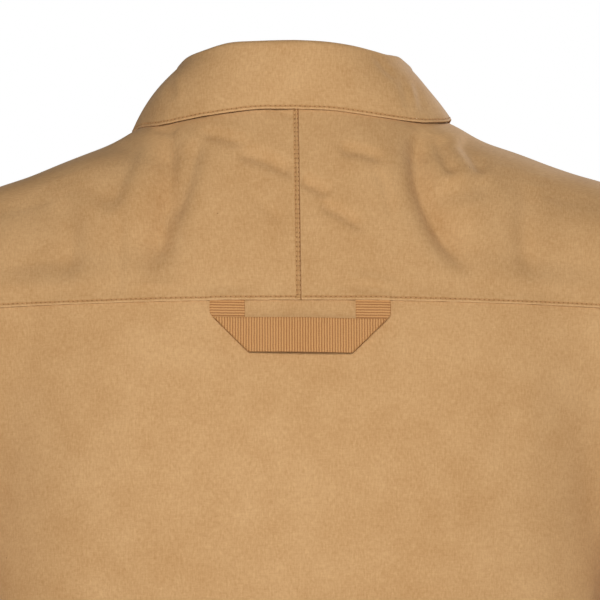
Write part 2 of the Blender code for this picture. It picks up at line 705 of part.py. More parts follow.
def leaf_grids():
    """The collar leaf's two faces: up from the stand's top, over the fold and down to its edge."""
    angle = np.arange(-LEAF_STEPS, LEAF_STEPS + 1) * COLLAR_STEP
    top = stand_point(angle, 1.0)
    away = away_from_neck(angle)
    edge_angle = np.radians(smooth(folded(angle), COLLAR.angle, COLLAR.edge_angle)) * np.sign(angle)
    edge_height = smooth(folded(angle), COLLAR.angle, COLLAR.edge_height)
    edge = on_section(edge_angle, edge_height)
    edge = edge + outward(edge) * (0.0010 + STIFF)
    up = np.array([0.0, 0.0, 1.0])
    middle = top + away * (ROLL - STIFF) + up * SEAM_GAP
    fold = np.stack([away * math.cos(t) + up * math.sin(t) for t in np.linspace(math.pi, 0, FOLD_STEPS)])
    start = middle + ROLL * away
    bulge = smooth(folded(angle), LEAF_BULGE.angle, LEAF_BULGE.bulge)[:, None]
    fall = np.stack([
        mix(start, edge, t) + (away + up) / math.sqrt(2) * bulge * 4 * t * (1 - t)
        for t in np.linspace(0, 1, FALL_STEPS)
    ])
    outer = np.concatenate([middle + ROLL * fold, fall[1:]])
    inner = np.concatenate([middle + (ROLL - STIFF) * fold, (fall - grid_outward(fall) * STIFF)[1:]])
    return outer, inner


# Buttons -------------------------------------------------------------------------------------

BUTTON_RADIUS = 0.0057
BUTTON_PROFILE = columns(  # from the middle of the back, round the rim, to the middle of the face
    "radius height",
    (0.85, 0.0), (1.0, 0.0008), (1.0, 0.0020), (0.86, 0.0027), (0.66, 0.0022),
)
BUTTON_SIDES = 14
BUTTON_GAP = 0.0004  # between a button's back and the cloth
COLLAR_BUTTON_GAP = 0.0006  # the collar stand is more curved
BAND_BUTTONS = 6
BAND_BUTTON_TOP, BAND_BUTTON_STEP = -0.112, 0.096
BAND_BUTTON_X = 0.001


def button(name, place, face):
    """A turned button, its back on the cloth at place, looking along face."""
    side = np.cross([0.0, 0.0, 1.0], face)
    side /= np.linalg.norm(side)
    up = np.cross(face, side)
    turn = np.linspace(0, 2 * math.pi, BUTTON_SIDES + 1)[:-1]
    rim = np.cos(turn)[:, None] * side + np.sin(turn)[:, None] * up
    rings = [place + face * h + rim * r * BUTTON_RADIUS
             for r, h in zip(BUTTON_PROFILE.radius, BUTTON_PROFILE.height)]
    points = np.concatenate([*rings, [place, place + face * BUTTON_PROFILE.height[-1]]])
    n, last = BUTTON_SIDES, (len(rings) - 1) * BUTTON_SIDES
    faces = []
    for k in range(n):
        j = (k + 1) % n
        faces.append((len(points) - 2, j, k))
        faces.append((len(points) - 1, last + k, last + j))
        for r in range(len(rings) - 1):
            faces.append((r * n + k, r * n + j, (r + 1) * n + j, (r + 1) * n + k))
    add_piece(name, points, faces, BUTTON)


def buttons():
    for i in range(BAND_BUTTONS):
        place, face = on_band(BAND_BUTTON_X, BAND_BUTTON_TOP - i * BAND_BUTTON_STEP)
        button(f"front_button_{i + 1}", place + face * BUTTON_GAP, face)
    low, high = (stand_point(np.array([math.pi]), s)[0] for s in (0.3, 0.7))
    rise = (high - low) / np.linalg.norm(high - low)
    face = np.cross(rise, [-1.0, 0.0, 0.0])
    button("collar_button", (low + high) / 2 + face * COLLAR_BUTTON_GAP, face)
    grid, way = cuff_grid(3)
    at = CUFF_STEPS - 2
    for side, name in ((1, "left"), (-1, "right")):
        turned = np.array([side, 1, 1])
        button(f"cuff_button_{name}", (grid[1, at] + way[1, at] * BUTTON_GAP) * turned, way[1, at] * turned)


# Hanger loop ---------------------------------------------------------------------------------

LOOP_LEFT, LOOP_RIGHT = 0.053, -0.057  # outer edges of its two ends
TAPE_WIDTH = 0.021
LOOP_TOP = -0.1130  # top edge of the level stretch
LOOP_FOLD = 0.0008  # radius of the fold, at the middle of the tape
LOOP_BOW = 0.0022  # the level stretch stands off this much more at its middle


def tape_columns():
    """The flat tape's columns as (low edge, high edge, end): slanted along the folds, upright at the ends."""
    low_l, low_r = LOOP_LEFT - TAPE_WIDTH, LOOP_RIGHT + TAPE_WIDTH
    rise = YOKE_SEAM_HEIGHT - LAY_GAP * 2 - 0.0003 - (LOOP_TOP - TAPE_WIDTH)
    half = math.pi * LOOP_FOLD / 2 * math.sqrt(2)
    bend = np.linspace(1, -1, 7) * half
    left = [(low_l + rise, low_l + rise)]
    left += [(low_l + b + s * (rise - b), low_l + TAPE_WIDTH + b + s * (rise - TAPE_WIDTH - b))
             for s, b in ((0.5, half), (0.2, half))]
    left += [(low_l + b, low_l + TAPE_WIDTH + b) for b in bend]
    right = [(low_r - (a - low_l), low_r - (b - low_l)) for a, b in left[::-1]]
    inner = [(mix(left[-1][0], right[0][0], s), mix(left[-1][1], right[0][1], s))
             for s in np.linspace(0, 1, 9)[1:-1]]
    return np.array(left + inner + right)


def loop_grid(rows=4):
    """The tape on the back: its level stretch, folded behind itself on a slant at both ends.

    A point's distance past the slanted line is wound round a half circle, and what lies beyond
    is turned back under the level stretch, which makes it run straight up.
    """
    cols = tape_columns()
    across = np.linspace(0, 1, rows)[:, None]
    u = mix(cols[:, 0], cols[:, 1], across)
    v = LOOP_TOP - TAPE_WIDTH + across * TAPE_WIDTH + 0 * u
    height = np.full(u.shape, LAY_GAP + TAPE / 2 + 2 * LOOP_FOLD)
    middle = (LOOP_LEFT + LOOP_RIGHT) / 2
    bow = np.cos(np.clip((u - middle) / (LOOP_LEFT - middle - TAPE_WIDTH / 2), -1, 1) * math.pi / 2)
    height = height + LOOP_BOW * bow**2
    for side, corner in ((1, LOOP_LEFT - TAPE_WIDTH), (-1, LOOP_RIGHT + TAPE_WIDTH)):
        past = (side * (u - corner) - (v - LOOP_TOP + TAPE_WIDTH)) / math.sqrt(2)
        quarter = math.pi * LOOP_FOLD / 2
        wound = np.clip((past + quarter) / LOOP_FOLD, 0, math.pi)
        now = np.where(past > -quarter, -quarter + LOOP_FOLD * np.sin(wound), past)
        now = np.where(past > quarter, -past, now)
        height = np.where(past > -quarter, LAY_GAP + TAPE / 2 + LOOP_FOLD * (1 + np.cos(wound)), height)
        u = u + side * (now - past) / math.sqrt(2)
        v = v - (now - past) / math.sqrt(2)
    return u, v, height


def hanger_loop():
    u, v, height = loop_grid()
    base, n = draped(on_side(u, v, 1))
    grid = base + n * height[..., None]
    face = grid_outward(grid)
    face *= np.sign((face * n).sum(-1)[:, len(face[0]) // 2].mean())
    wall("hanger_loop", grid + face * TAPE / 2, grid - face * TAPE / 2, finish=RIBBED)


# The jacket ----------------------------------------------------------------------------------


def build():
    for left_over in list(bpy.data.objects):
        bpy.data.objects.remove(left_over, do_unlink=True)
    back_panel()
    yoke = yoke_half()
    cloth("yoke_left", yoke, flip=True)
    cloth("yoke_right", mirrored(yoke))
    front = front_half()
    cloth("front_left", front)
    cloth("front_right", mirrored(front), flip=True)
    wall("front_band", *band_faces())
    sleeve, out = sleeve_grid()
    cuff, way = cuff_grid(3)
    for side, name in ((1, "left"), (-1, "right")):
        turned = np.array([side, 1, 1])
        wall(f"sleeve_{name}", sleeve * turned, (sleeve - out * SHELL) * turned, ring=True, flip=side > 0)
        wall(f"cuff_{name}", cuff * turned, (cuff - way * STIFF) * turned, flip=side > 0)
    collar_stand()
    wall("collar_leaf", *leaf_grids())
    buttons()
    hanger_loop()


build()
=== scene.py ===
"""The looks of a long-sleeved tan cotton shirt jacket, filled out as it is worn, with nobody in it.

Metres, +Z up. The front faces -Y, and the wearer's left is +X. Each piece of cloth is a smooth
sheet through a net of points on one form, a hollow torso blended into two arms. Folds, seams and
puckers move the sheet's points along its normals, and two such sheets make the cloth's wall.
"""

import math
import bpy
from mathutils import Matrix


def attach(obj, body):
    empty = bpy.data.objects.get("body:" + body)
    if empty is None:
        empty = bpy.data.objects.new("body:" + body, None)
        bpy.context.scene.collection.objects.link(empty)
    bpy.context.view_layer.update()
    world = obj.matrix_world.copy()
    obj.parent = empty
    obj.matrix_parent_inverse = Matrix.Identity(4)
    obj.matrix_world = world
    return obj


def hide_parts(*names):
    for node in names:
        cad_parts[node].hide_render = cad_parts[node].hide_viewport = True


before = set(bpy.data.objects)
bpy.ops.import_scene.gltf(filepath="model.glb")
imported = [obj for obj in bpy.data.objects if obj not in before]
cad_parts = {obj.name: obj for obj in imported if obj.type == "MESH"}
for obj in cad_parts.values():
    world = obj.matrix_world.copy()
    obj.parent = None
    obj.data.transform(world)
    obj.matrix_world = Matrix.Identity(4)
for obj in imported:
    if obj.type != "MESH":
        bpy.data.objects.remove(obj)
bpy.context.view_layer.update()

from types import SimpleNamespace

import bpy
import numpy as np
from mathutils import Vector

# Back panel ----------------------------------------------
# The largest piece: one panel of brushed cotton twill from the yoke seam down to the hem. Its top
# edge runs up under the folded edge of the yoke, and its sides are felled over the fronts.


def columns(names, *rows, mm=""):
    """A short table as one object, with an array for each named column. Columns that are also
    named in mm are given in millimetres, and turned to metres."""
    found = zip(names.split(), np.array(rows, float).T)
    return SimpleNamespace(**{name: x / 1000 if name in mm.split() else x for name, x in found})


def rows_of(table):
    return zip(*vars(table).values())


def smooth(x, stations, values):
    """The values between a table's stations, on cubic pieces that share their slopes."""
    order = np.argsort(stations)
    at, value = stations[order], values[order]
    step = np.diff(at)
    rise = np.diff(value) / step
    slope = np.concatenate([
        rise[:1], (rise[:-1] * step[1:] + rise[1:] * step[:-1]) / (step[:-1] + step[1:]), rise[-1:]
    ])
    x = np.clip(x, at[0], at[-1])
    i = np.clip(np.searchsorted(at, x) - 1, 0, len(step) - 1)
    t = (x - at[i]) / step[i]
    return (
        (2 * t**3 - 3 * t**2 + 1) * value[i] + (t**3 - 2 * t**2 + t) * step[i] * slope[i]
        + (3 * t**2 - 2 * t**3) * value[i + 1] + (t**3 - t**2) * step[i] * slope[i + 1]
    )


def ease(t):
    """0 to 1 with level ends: 3t² - 2t³."""
    t = np.clip(t, 0, 1)
    return t * t * (3 - 2 * t)


def mix(a, b, share):
    return a + (b - a) * share


def lengths(p, axis=0):
    """Running length along the lines of a grid of points, from 0."""
    step = np.linalg.norm(np.diff(p, axis=axis), axis=-1)
    start = np.zeros_like(np.take(step, [0], axis=axis))
    return np.concatenate([start, np.cumsum(step, axis=axis)], axis=axis)


TORSO = columns(
    "height half_width back front squareness",
    (45, 30, 20, 12, 2.1),
    (30, 52, 42, 20, 2.1),
    (20, 64, 55.5, 27, 2.15),
    (12, 75.5, 60.5, 33, 2.2),
    (2.5, 95.5, 65.5, 40.5, 2.2),
    (-8, 114.5, 71, 48, 2.2),
    (-17.2, 138, 75.5, 54.5, 2.2),
    (-33.7, 173, 82.5, 63, 2.2),
    (-55, 200, 90.5, 71.5, 2.2),
    (-80, 212, 99, 81.5, 2.25),
    (-103, 213, 106, 91, 2.3),
    (-150, 207, 116, 106, 2.4),
    (-200, 202, 122, 117, 2.45),
    (-260, 201, 124.5, 123, 2.5),
    (-330, 205, 123, 124, 2.5),
    (-430, 211, 118, 120, 2.45),
    (-560, 216, 117, 117, 2.4),
    (-720, 221, 120, 118, 2.4),
    (-800, 223, 121, 118, 2.4),
    mm="height half_width back front",
)
SHOULDER_JOINT = np.array([0.192, 0.0, -0.113])
UPPER_ARM_TILT = math.radians(29)  # out from straight down
FOREARM_TILT = math.radians(19)
FOREARM_FORWARD = 0.15
ELBOW_FROM, ELBOW_LENGTH = 0.20, 0.18
SLEEVE_END = 0.548  # along the arm, from the shoulder joint
CUFF_LENGTH = 0.062
ARM = columns(
    "along radius",
    (0, 66), (80, 67.5), (200, 64.5), (300, 60), (420, 54),
    (500, 50), (530, 47.5), (548, 43), (620, 41.5), (660, 41.5),
    mm="along radius",
)
ARM_STEPS = 25
BLEND = 0.035  # how far the armhole's hollow is rounded between torso and arm


def arm_axis():
    """Points along the middle of the arm: straight, then turned smoothly at the elbow."""
    along = np.linspace(0, ARM.along[-1], ARM_STEPS)
    upper = np.array([math.sin(UPPER_ARM_TILT), 0, -math.cos(UPPER_ARM_TILT)])
    lower = np.array([math.sin(FOREARM_TILT), -FOREARM_FORWARD, -math.cos(FOREARM_TILT)])
    lower /= np.linalg.norm(lower)
    heading = mix(upper, lower, ease((along - ELBOW_FROM) / ELBOW_LENGTH)[:, None])
    heading /= np.linalg.norm(heading, axis=1)[:, None]
    steps = (heading[1:] + heading[:-1]) / 2 * np.diff(along)[:, None]
    return along, SHOULDER_JOINT + np.vstack([np.zeros(3), np.cumsum(steps, axis=0)]), heading


ALONG, AXIS, HEADING = arm_axis()
AXIS_RADIUS = smooth(ALONG, ARM.along, ARM.radius)


def section_radius(p, z):
    """How far the torso's section at height z, a superellipse, reaches towards each point."""
    out = np.hypot(p[..., 0], p[..., 1]) + 1e-9
    side = smooth(z, TORSO.height, TORSO.half_width)
    depth = np.where(
        p[..., 1] > 0, smooth(z, TORSO.height, TORSO.back), smooth(z, TORSO.height, TORSO.front)
    )
    power = smooth(z, TORSO.height, TORSO.squareness)
    share = (np.abs(p[..., 0]) / out / side) ** power + (np.abs(p[..., 1]) / out / depth) ** power
    return share ** (-1 / power)


def torso_distance(p, step=0.001):
    """Distance outside the torso: the level one from its section, times the slope's cosine."""
    z = p[..., 2]
    here, above, below = (section_radius(p, z + shift) for shift in (0, step, -step))
    return (np.hypot(p[..., 0], p[..., 1]) - here) / np.hypot(1, (above - below) / (2 * step))


def arm_distance(p):
    """Distance outside the nearer arm: from its axis, less a radius that tapers along it."""
    q = np.concatenate([np.abs(p[..., :1]), p[..., 1:]], -1)
    nearest = np.full(q.shape[:-1], 1e9)
    for a, b, ra, rb in zip(AXIS[:-1], AXIS[1:], AXIS_RADIUS[:-1], AXIS_RADIUS[1:]):
        share = np.clip(((q - a) @ (b - a)) / ((b - a) @ (b - a)), 0, 1)
        off = np.linalg.norm(q - a - share[..., None] * (b - a), axis=-1) - mix(ra, rb, share)
        nearest = np.minimum(nearest, off)
    return nearest


def form(p):
    """Distance outside torso and arms together, the crease between them rounded by BLEND."""
    torso, arm = torso_distance(p), arm_distance(p)
    near = np.maximum(BLEND - np.abs(torso - arm), 0) / BLEND
    return np.minimum(torso, arm) - near**2 * BLEND / 4


def slopes(p, step=0.0005):
    """How fast the form's distance changes along x, y and z."""
    return np.stack([(form(p + s) - form(p - s)) / (2 * step) for s in np.eye(3) * step], -1)


def outward(p):
    """The form's outward direction: its slopes, made one long."""
    n = slopes(p)
    return n / np.linalg.norm(n, axis=-1, keepdims=True)


def onto_form(p, rounds=4):
    """Points near the form, moved onto it by Newton steps along its slopes."""
    for _ in range(rounds):
        slope = slopes(p)
        p = p - form(p)[..., None] * slope / (slope**2).sum(-1, keepdims=True)
    return p


def first_out(place, near, strides=16, closings=4, step=0.0002):
    """The distance at which place(distance) leaves the form: strides of the form's own distance,
    which stay inside it, then Newton's method."""
    reach = near + 0 * form(place(near))
    for _ in range(strides):
        reach = reach - form(place(reach))
    for _ in range(closings):
        now = form(place(reach))
        reach = reach - now * step / (form(place(reach + step)) - now)
    return reach


def on_section(angle, height):
    """The form seen from the torso's middle line. Angle 0 is the back, and half a turn the front."""
    angle, height = np.broadcast_arrays(np.asarray(angle, float), np.asarray(height, float))

    def place(r):
        r = np.broadcast_to(r, angle.shape)
        return np.stack([r * np.sin(angle), r * np.cos(angle), height], -1)

    return place(first_out(place, 0.005))


def on_side(x, height, side):
    """The form straight in front of (side -1) or behind (side 1) a point of the middle plane."""
    x, height = np.broadcast_arrays(np.asarray(x, float), np.asarray(height, float))

    def place(r):
        return np.stack([x, side * np.broadcast_to(r, x.shape), height], -1)

    return place(first_out(place, 0.002))


ARMHOLE = columns(  # how far out the armhole seam lies, by height
    "height x",
    (-30, 236), (-55, 232), (-80, 225), (-110, 217.5), (-150, 210.5),
    (-200, 206.5), (-250, 207.5), (-300, 212), (-350, 217),
    mm="height x",
)
ARMHOLE_MIDDLE = -0.178
YOKE_SEAM_HEIGHT = -0.103  # at the centre of the back
YOKE_SEAM_DROP = 0.0085  # how much lower it meets the armhole
FRONT_YOKE_REACH = 0.045  # the yoke ends this far in front of the shoulder line
HEM_HEIGHT = -0.720
SIDES = (1, "left"), (-1, "right")


def armhole(turn):
    """The armhole seam. Turn 0 is its top, a quarter turn the back and half a turn the armpit."""
    turn = np.asarray(turn, float)

    def place(r):
        z = ARMHOLE_MIDDLE + r * np.cos(turn)
        return np.stack([smooth(z, ARMHOLE.height, ARMHOLE.x), r * np.sin(turn) + 0 * z, z], -1)

    return place(first_out(place, 0.02))


ARMHOLE_TURNS = np.linspace(-math.pi, math.pi, 361)
ARMHOLE_LINE = armhole(ARMHOLE_TURNS)
ARMHOLE_RUN = lengths(ARMHOLE_LINE)


def turn_at_height(height):
    """The turn at which the back of the armhole has this height."""
    back = (ARMHOLE_TURNS > 0.2) & (ARMHOLE_TURNS < math.pi / 2)
    return np.interp(-height, -ARMHOLE_LINE[back, 2], ARMHOLE_TURNS[back])


def turn_at_reach(reach):
    """The turn at which the upper front of the armhole lies this far in front of its top."""
    front = (ARMHOLE_TURNS > -math.pi / 2) & (ARMHOLE_TURNS < 0)
    return np.interp(-reach, ARMHOLE_LINE[front, 1], ARMHOLE_TURNS[front])


def even_turns(start, end, count):
    """Turns that divide a stretch of the armhole into even lengths."""
    ends = np.interp([start, end], ARMHOLE_TURNS, ARMHOLE_RUN)
    return np.interp(np.linspace(*ends, count), ARMHOLE_RUN, ARMHOLE_TURNS)


BACK_YOKE_TURN = turn_at_height(YOKE_SEAM_HEIGHT - YOKE_SEAM_DROP)
FRONT_YOKE_TURN = turn_at_reach(FRONT_YOKE_REACH)
ACROSS = np.linspace(0, 1, 30)  # the net's columns, from the middle of back or front to the side
ARMPIT = ARMHOLE_LINE[-1, 2]
LOW_ROWS = np.linspace(HEM_HEIGHT, ARMPIT, 25)[:-1]  # heights of the net's rows below the armpit
BACK_ROWS, FRONT_ROWS = 26, 24  # rows from there up to the yoke seam, and to the front of the neck


def between(inner, outer, bend=1.0, turning=False):
    """Rows of points on the form from an inner to an outer seam: chords, or turns about the
    torso's middle line, moved onto the form. The bend keeps a row level near its inner end."""
    a, b, s = inner[:, None], outer[:, None], ACROSS[None, :, None]
    p = mix(a, b, s)
    if turning:
        ends = np.unwrap(np.stack([np.arctan2(e[..., 0], e[..., 1]) for e in (a, b)]), axis=0)
        angle = mix(*ends, s[..., 0])
        reach = mix(np.hypot(a[..., 0], a[..., 1]), np.hypot(b[..., 0], b[..., 1]), s[..., 0])
        p = np.stack([reach * np.sin(angle), reach * np.cos(angle), p[..., 2]], -1)
    bend = np.broadcast_to(bend, (len(inner),))[:, None]
    p[..., 2] = mix(a[..., 2], b[..., 2], s[..., 0] ** bend)
    p = onto_form(p)
    p[:, 0], p[:, -1] = inner, outer
    return p


def yoke_seam():
    """The seam of yoke and back on the +X side."""
    x = armhole(BACK_YOKE_TURN)[0] * ACROSS
    return on_side(x, YOKE_SEAM_HEIGHT - YOKE_SEAM_DROP * ACROSS**2, 1)


def mirrored(points):
    return points * np.array([-1.0, 1.0, 1.0])


def back_net():
    """The back's net, hem to yoke seam: half of it is worked out and the other half mirrored."""
    centre = np.concatenate([LOW_ROWS, mix(ARMPIT, YOKE_SEAM_HEIGHT, np.linspace(0, 1, BACK_ROWS))])
    turns = even_turns(math.pi, BACK_YOKE_TURN, BACK_ROWS)
    outer = np.concatenate([on_section(math.pi / 2, LOW_ROWS), armhole(turns)])
    half = between(on_side(0 * centre, centre, 1), outer, bend=2.0, turning=True)
    half[-1] = yoke_seam()
    return np.concatenate([mirrored(half[:, :0:-1]), half], axis=1)


def spline_rows(count, at, ring=False):
    """Weights of a uniform cubic B-spline: a row of shares of the net's points for each station.
    Past its ends the net goes straight on, or round again in a ring."""
    i = np.floor(at).astype(int)
    t = at - i
    basis = np.stack([
        (1 - t) ** 3, 3 * t**3 - 6 * t**2 + 4, -3 * t**3 + 3 * t**2 + 3 * t + 1, t**3
    ]) / 6
    weights = np.zeros((len(at), count))
    row = np.arange(len(at))
    for k, share in zip(range(-1, 3), basis):
        j = i + k
        if ring:
            np.add.at(weights, (row, j % count), share)
            continue
        over = np.maximum(0, -j) + np.maximum(0, j - count + 1)  # points past the end
        edge = np.clip(j, 0, count - 1)
        inner = np.where(j < 0, 1, np.where(j > count - 1, count - 2, edge))
        np.add.at(weights, (row, edge), share * (1 + over))
        np.add.at(weights, (row, inner), -share * over)
    return weights


EDGE_STATIONS = np.array([0, 0.05, 0.15, 0.3, 0.5, 0.8, 1.2, 1.7, 2.3, 3.0, 4.0, 5.2]) / 1000


def stations(line, step, before=0.0, after=0.0, close=EDGE_STATIONS):
    """Stations along a line of the net, by its points' numbers: close together at both ends,
    which reach past the line, and otherwise about a step apart."""
    run = lengths(line)
    low, high = -before, run[-1] + after
    inner = np.linspace(low + close[-1], high - close[-1],
                        max(3, round((high - low - 2 * close[-1]) / step) + 1))
    at = np.concatenate([low + close[:-1], inner, high - close[-2::-1]])
    number = np.arange(len(line), dtype=float)
    past_low = np.minimum(at, 0) / (run[1] - run[0])
    past_high = np.maximum(at - run[-1], 0) / (run[-1] - run[-2])
    return np.interp(at, run, number) + past_low + past_high


def sheet_normals(sheet, ring=False):
    """Unit normals: the cross product of the differences along the grid's columns and rows."""
    wrapped = np.concatenate([sheet[:, -1:], sheet, sheet[:, :1]], axis=1) if ring else sheet
    n = np.cross(np.gradient(wrapped, axis=1), np.gradient(wrapped, axis=0))
    n /= np.linalg.norm(n, axis=-1, keepdims=True)
    return n[:, 1:-1] if ring else n


PATH_POINTS = 13
PATH_FADE = 0.25  # share of a fold's length over which it fades out
CREASED = 1.6  # power of an uneven fold's curve
SOFT = 0.12  # how far its bottom is rounded, in widths
SIDE_FADE = 0.03  # how far behind the side line a fold of the back has reached its depth


def fold_table(*rows):
    """Folds in millimetres: side (1 back, -1 front), x and z of the start, middle and end, width,
    a second width where its other side has another, and depth, which is below zero for a ridge."""
    full = [row if len(row) > 9 else row[:8] + row[7:] for row in rows]
    lengths_named = "x0 z0 xm zm x1 z1 width other depth"
    return columns("side " + lengths_named, *full, mm=lengths_named)


FOLDS = fold_table(
    (1, 216, -225, 186, -318, 126, -380, 16, 8.4),
    (1, -214, -230, -188, -322, -136, -396, 16, 8.4),
    (1, 205, -330, 165, -385, 100, -425, 12, 5.2),
    (1, 125, -400, 134, -560, 128, -780, 22, 9.6),
    (1, -95, -430, -108, -590, -104, -780, 24, 9.6),
    (1, 20, -500, 14, -620, 18, -780, 24, 6.6),
    (-1, 206, -220, 148, -305, 84, -345, 13, 9.7),
    (-1, -206, -216, -154, -300, -96, -350, 13, 9.7),
    (-1, 138, -390, 146, -560, 140, -780, 22, 12),
    (-1, -122, -420, -132, -590, -128, -780, 22, 12),
    (-1, 100, -50, 118, -110, 104, -185, 9, 5.4),
    (-1, -102, -52, -120, -110, -106, -175, 9, 5.4),
    (-1, 200, -150, 170, -200, 120, -225, 8, 5.1),
    (-1, -200, -155, -172, -198, -132, -232, 8, 5.1),
)
BACK_CREASES = fold_table(
    (1, 215, -160, 186, -225, 170, -320, 24, 2),
    (1, -215, -130, -186, -205, -175, -310, 22, 1.8),
    (1, -150, -135, -140, -180, -146, -230, 10, -0.8),
    (1, 120, -120, 108, -155, 84, -190, 9, -0.8),
    (1, 60, -175, 20, -230, -20, -260, 16, 0.9),
    (1, 192, -352, 150, -382, 108, -396, 5, 1.6),
    (1, -192, -360, -152, -392, -118, -408, 5, 1.6),
    (1, -60, -400, -20, -430, 40, -424, 7, 1.2),
    (1, 56, -113, 45.2, -127, 30, -140, 3.2, 1.4),
    (1, -61, -113, -50, -127.5, -35, -140.5, 3.2, 1.4),
)


def fold_depth(p, folds):
    """How far cloth is pressed in by a table's folds: for each, its depth times a curve of the
    distance from a parabola through its three points, faded at its ends. The distance is taken
    over the width of the side it lies on. An uneven fold is creased along its bottom."""
    depth = np.zeros(p.shape[:-1])
    share = np.linspace(0, 1, PATH_POINTS)
    weights = np.stack([(1 - share) * (1 - 2 * share), 4 * share * (1 - share), share * (2 * share - 1)], -1)
    for side, x0, z0, xm, zm, x1, z1, width, other, deep in rows_of(folds):
        path = weights @ np.array([[x0, z0], [xm, zm], [x1, z1]])
        reach = 3 * max(width, other)
        power = 2.0 if width == other else CREASED
        flat = p[..., [0, 2]]
        near = ((flat > path.min(0) - reach) & (flat < path.max(0) + reach)).all(-1)
        q = flat[near]
        off, at, turned = np.full(len(q), 1e9), np.zeros(len(q)), np.zeros(len(q))
        for k in range(PATH_POINTS - 1):
            step = path[k + 1] - path[k]
            t = np.clip(((q - path[k]) @ step) / (step @ step), 0, 1)
            d = np.linalg.norm(q - path[k] - t[:, None] * step, axis=-1)
            at = np.where(d < off, share[k] + t / (PATH_POINTS - 1), at)
            turned = np.where(d < off, step[0] * (q - path[k])[:, 1] - step[1] * (q - path[k])[:, 0], turned)
            off = np.minimum(off, d)
        fade = ease(at / PATH_FADE) * ease((1 - at) / PATH_FADE)
        share_off = off / np.where(turned > 0, width, other)
        curve = np.exp(SOFT**power - (share_off**2 + SOFT**2) ** (power / 2))
        depth[near] += deep * curve * fade * ease(side * p[near][:, 1] / SIDE_FADE)
    return depth


def waves(p, seed, longest, shortest, count=14):
    """Slow unevenness, about -1 to 1: a sum of plane waves with directions drawn at random, the
    longer ones stronger, over the root of their number."""
    draw = np.random.default_rng(seed)
    way = draw.normal(size=(count, p.shape[-1]))
    way /= np.linalg.norm(way, axis=1)[:, None]
    wavelength = np.geomspace(longest, shortest, count)
    phase = draw.uniform(0, 2 * math.pi, count)
    total = np.zeros(p.shape[:-1])
    for w, l, f in zip(way, wavelength, phase):
        total += np.sin(p @ w * (2 * math.pi / l) + f) * (l / longest) ** 0.7
    return total / math.sqrt(count) * 1.1


SHOULDERS = columns(  # how much lower than even the cloth lies along the shoulders, by x
    "x drop",
    (-260, -2), (-150, -2.2), (-122, -0.3), (-104, -1.2), (-82, 0),
    (72, 0), (98, 1.8), (130, 1.8), (180, 2.6), (260, 2.8),
    mm="x drop",
)
DROP_FROM, DROP_FADE = -0.100, 0.055  # the height where it starts, and how far above that it is whole


def shoulder_drop(p):
    """The shoulders' drop, fading out down to the yoke seam."""
    return smooth(p[..., 0], SHOULDERS.x, SHOULDERS.drop) * ease((p[..., 2] - DROP_FROM) / DROP_FADE)


PLY = 0.0010  # thickness of the cloth, with its nap
STITCH = 0.0030
TURNED = 0.0008  # how far a folded edge stands above its neighbour
UNEVEN, UNEVEN_LONG, UNEVEN_SHORT = 0.00040, 0.11, 0.028  # hanging cloth's: height and wavelengths
GROOVE_DEPTH, GROOVE_WIDTH = 0.00018, 0.0007  # what a row of stitches presses in
PUCKER_LONG, PUCKER_SHORT, PUCKER_REACH = 0.019, 0.0065, 0.007  # wavelengths, and how far they go
HEM_STEP, HEM_RISE = 0.0015, 0.3  # the step's width, and the share of the ply that rises outside
SEAM_FADE, TUCK_SLOPE = 0.004, 0.10  # how a tucked edge comes up inside its seam, and goes down past it
EDGE_REACH = 0.010  # the length that counts as one in the UV map Edge


def edge(lift=0.0, reach=0.010, tuck=0.0, sink=0.0, hem=0.0, rows=(), pucker=0.0,
         trim=(0.0006, 0.0006), joined=False):
    """How a panel's edge is finished: lift of a folded edge and how far in it fades out, or how far
    it is tucked under its neighbour and how deep it lies at the seam, or the width of its hem;
    distances of its rows of stitches from the seam; height of the puckers they draw; how much
    shorter than the edge they are at their two ends; and whether another piece's edge meets it."""
    return SimpleNamespace(**locals())


FELLED = edge(lift=TURNED, rows=(0.0016, 0.0080), pucker=0.00035)
TUCKED = edge(tuck=0.0070, sink=0.00025, pucker=0.0002)
HEMMED = edge(hem=0.016, rows=(0.0145,), pucker=0.0003)
PLAIN = edge()
ARMHOLE_EDGE = edge(lift=TURNED, rows=(0.0080,), pucker=0.0004)


def edge_measures(sheet, finish, ring=False):
    """For each edge: how far points lie inside its seam, how far along it, and its finish."""
    down, across = lengths(sheet, 0), lengths(sheet, 1)
    found = [
        (down - finish[0].tuck, across[:1] + 0 * down, finish[0]),
        (down[-1:] - down - finish[1].tuck, across[-1:] + 0 * down, finish[1]),
    ]
    if not ring:
        found += [
            (across - finish[2].tuck, down[:, :1] + 0 * across, finish[2]),
            (across[:, -1:] - across - finish[3].tuck, down[:, -1:] + 0 * across, finish[3]),
        ]
    return found


def tucked_depth(inside, finish):
    """How deep a tucked edge lies: its sink at the seam, none a little inside it, and deeper and
    deeper as it goes on under its neighbour."""
    coming_up = finish.sink * (1 - ease(inside / SEAM_FADE))
    return np.where(inside > 0, coming_up, finish.sink - inside * TUCK_SLOPE) * (finish.sink > 0)


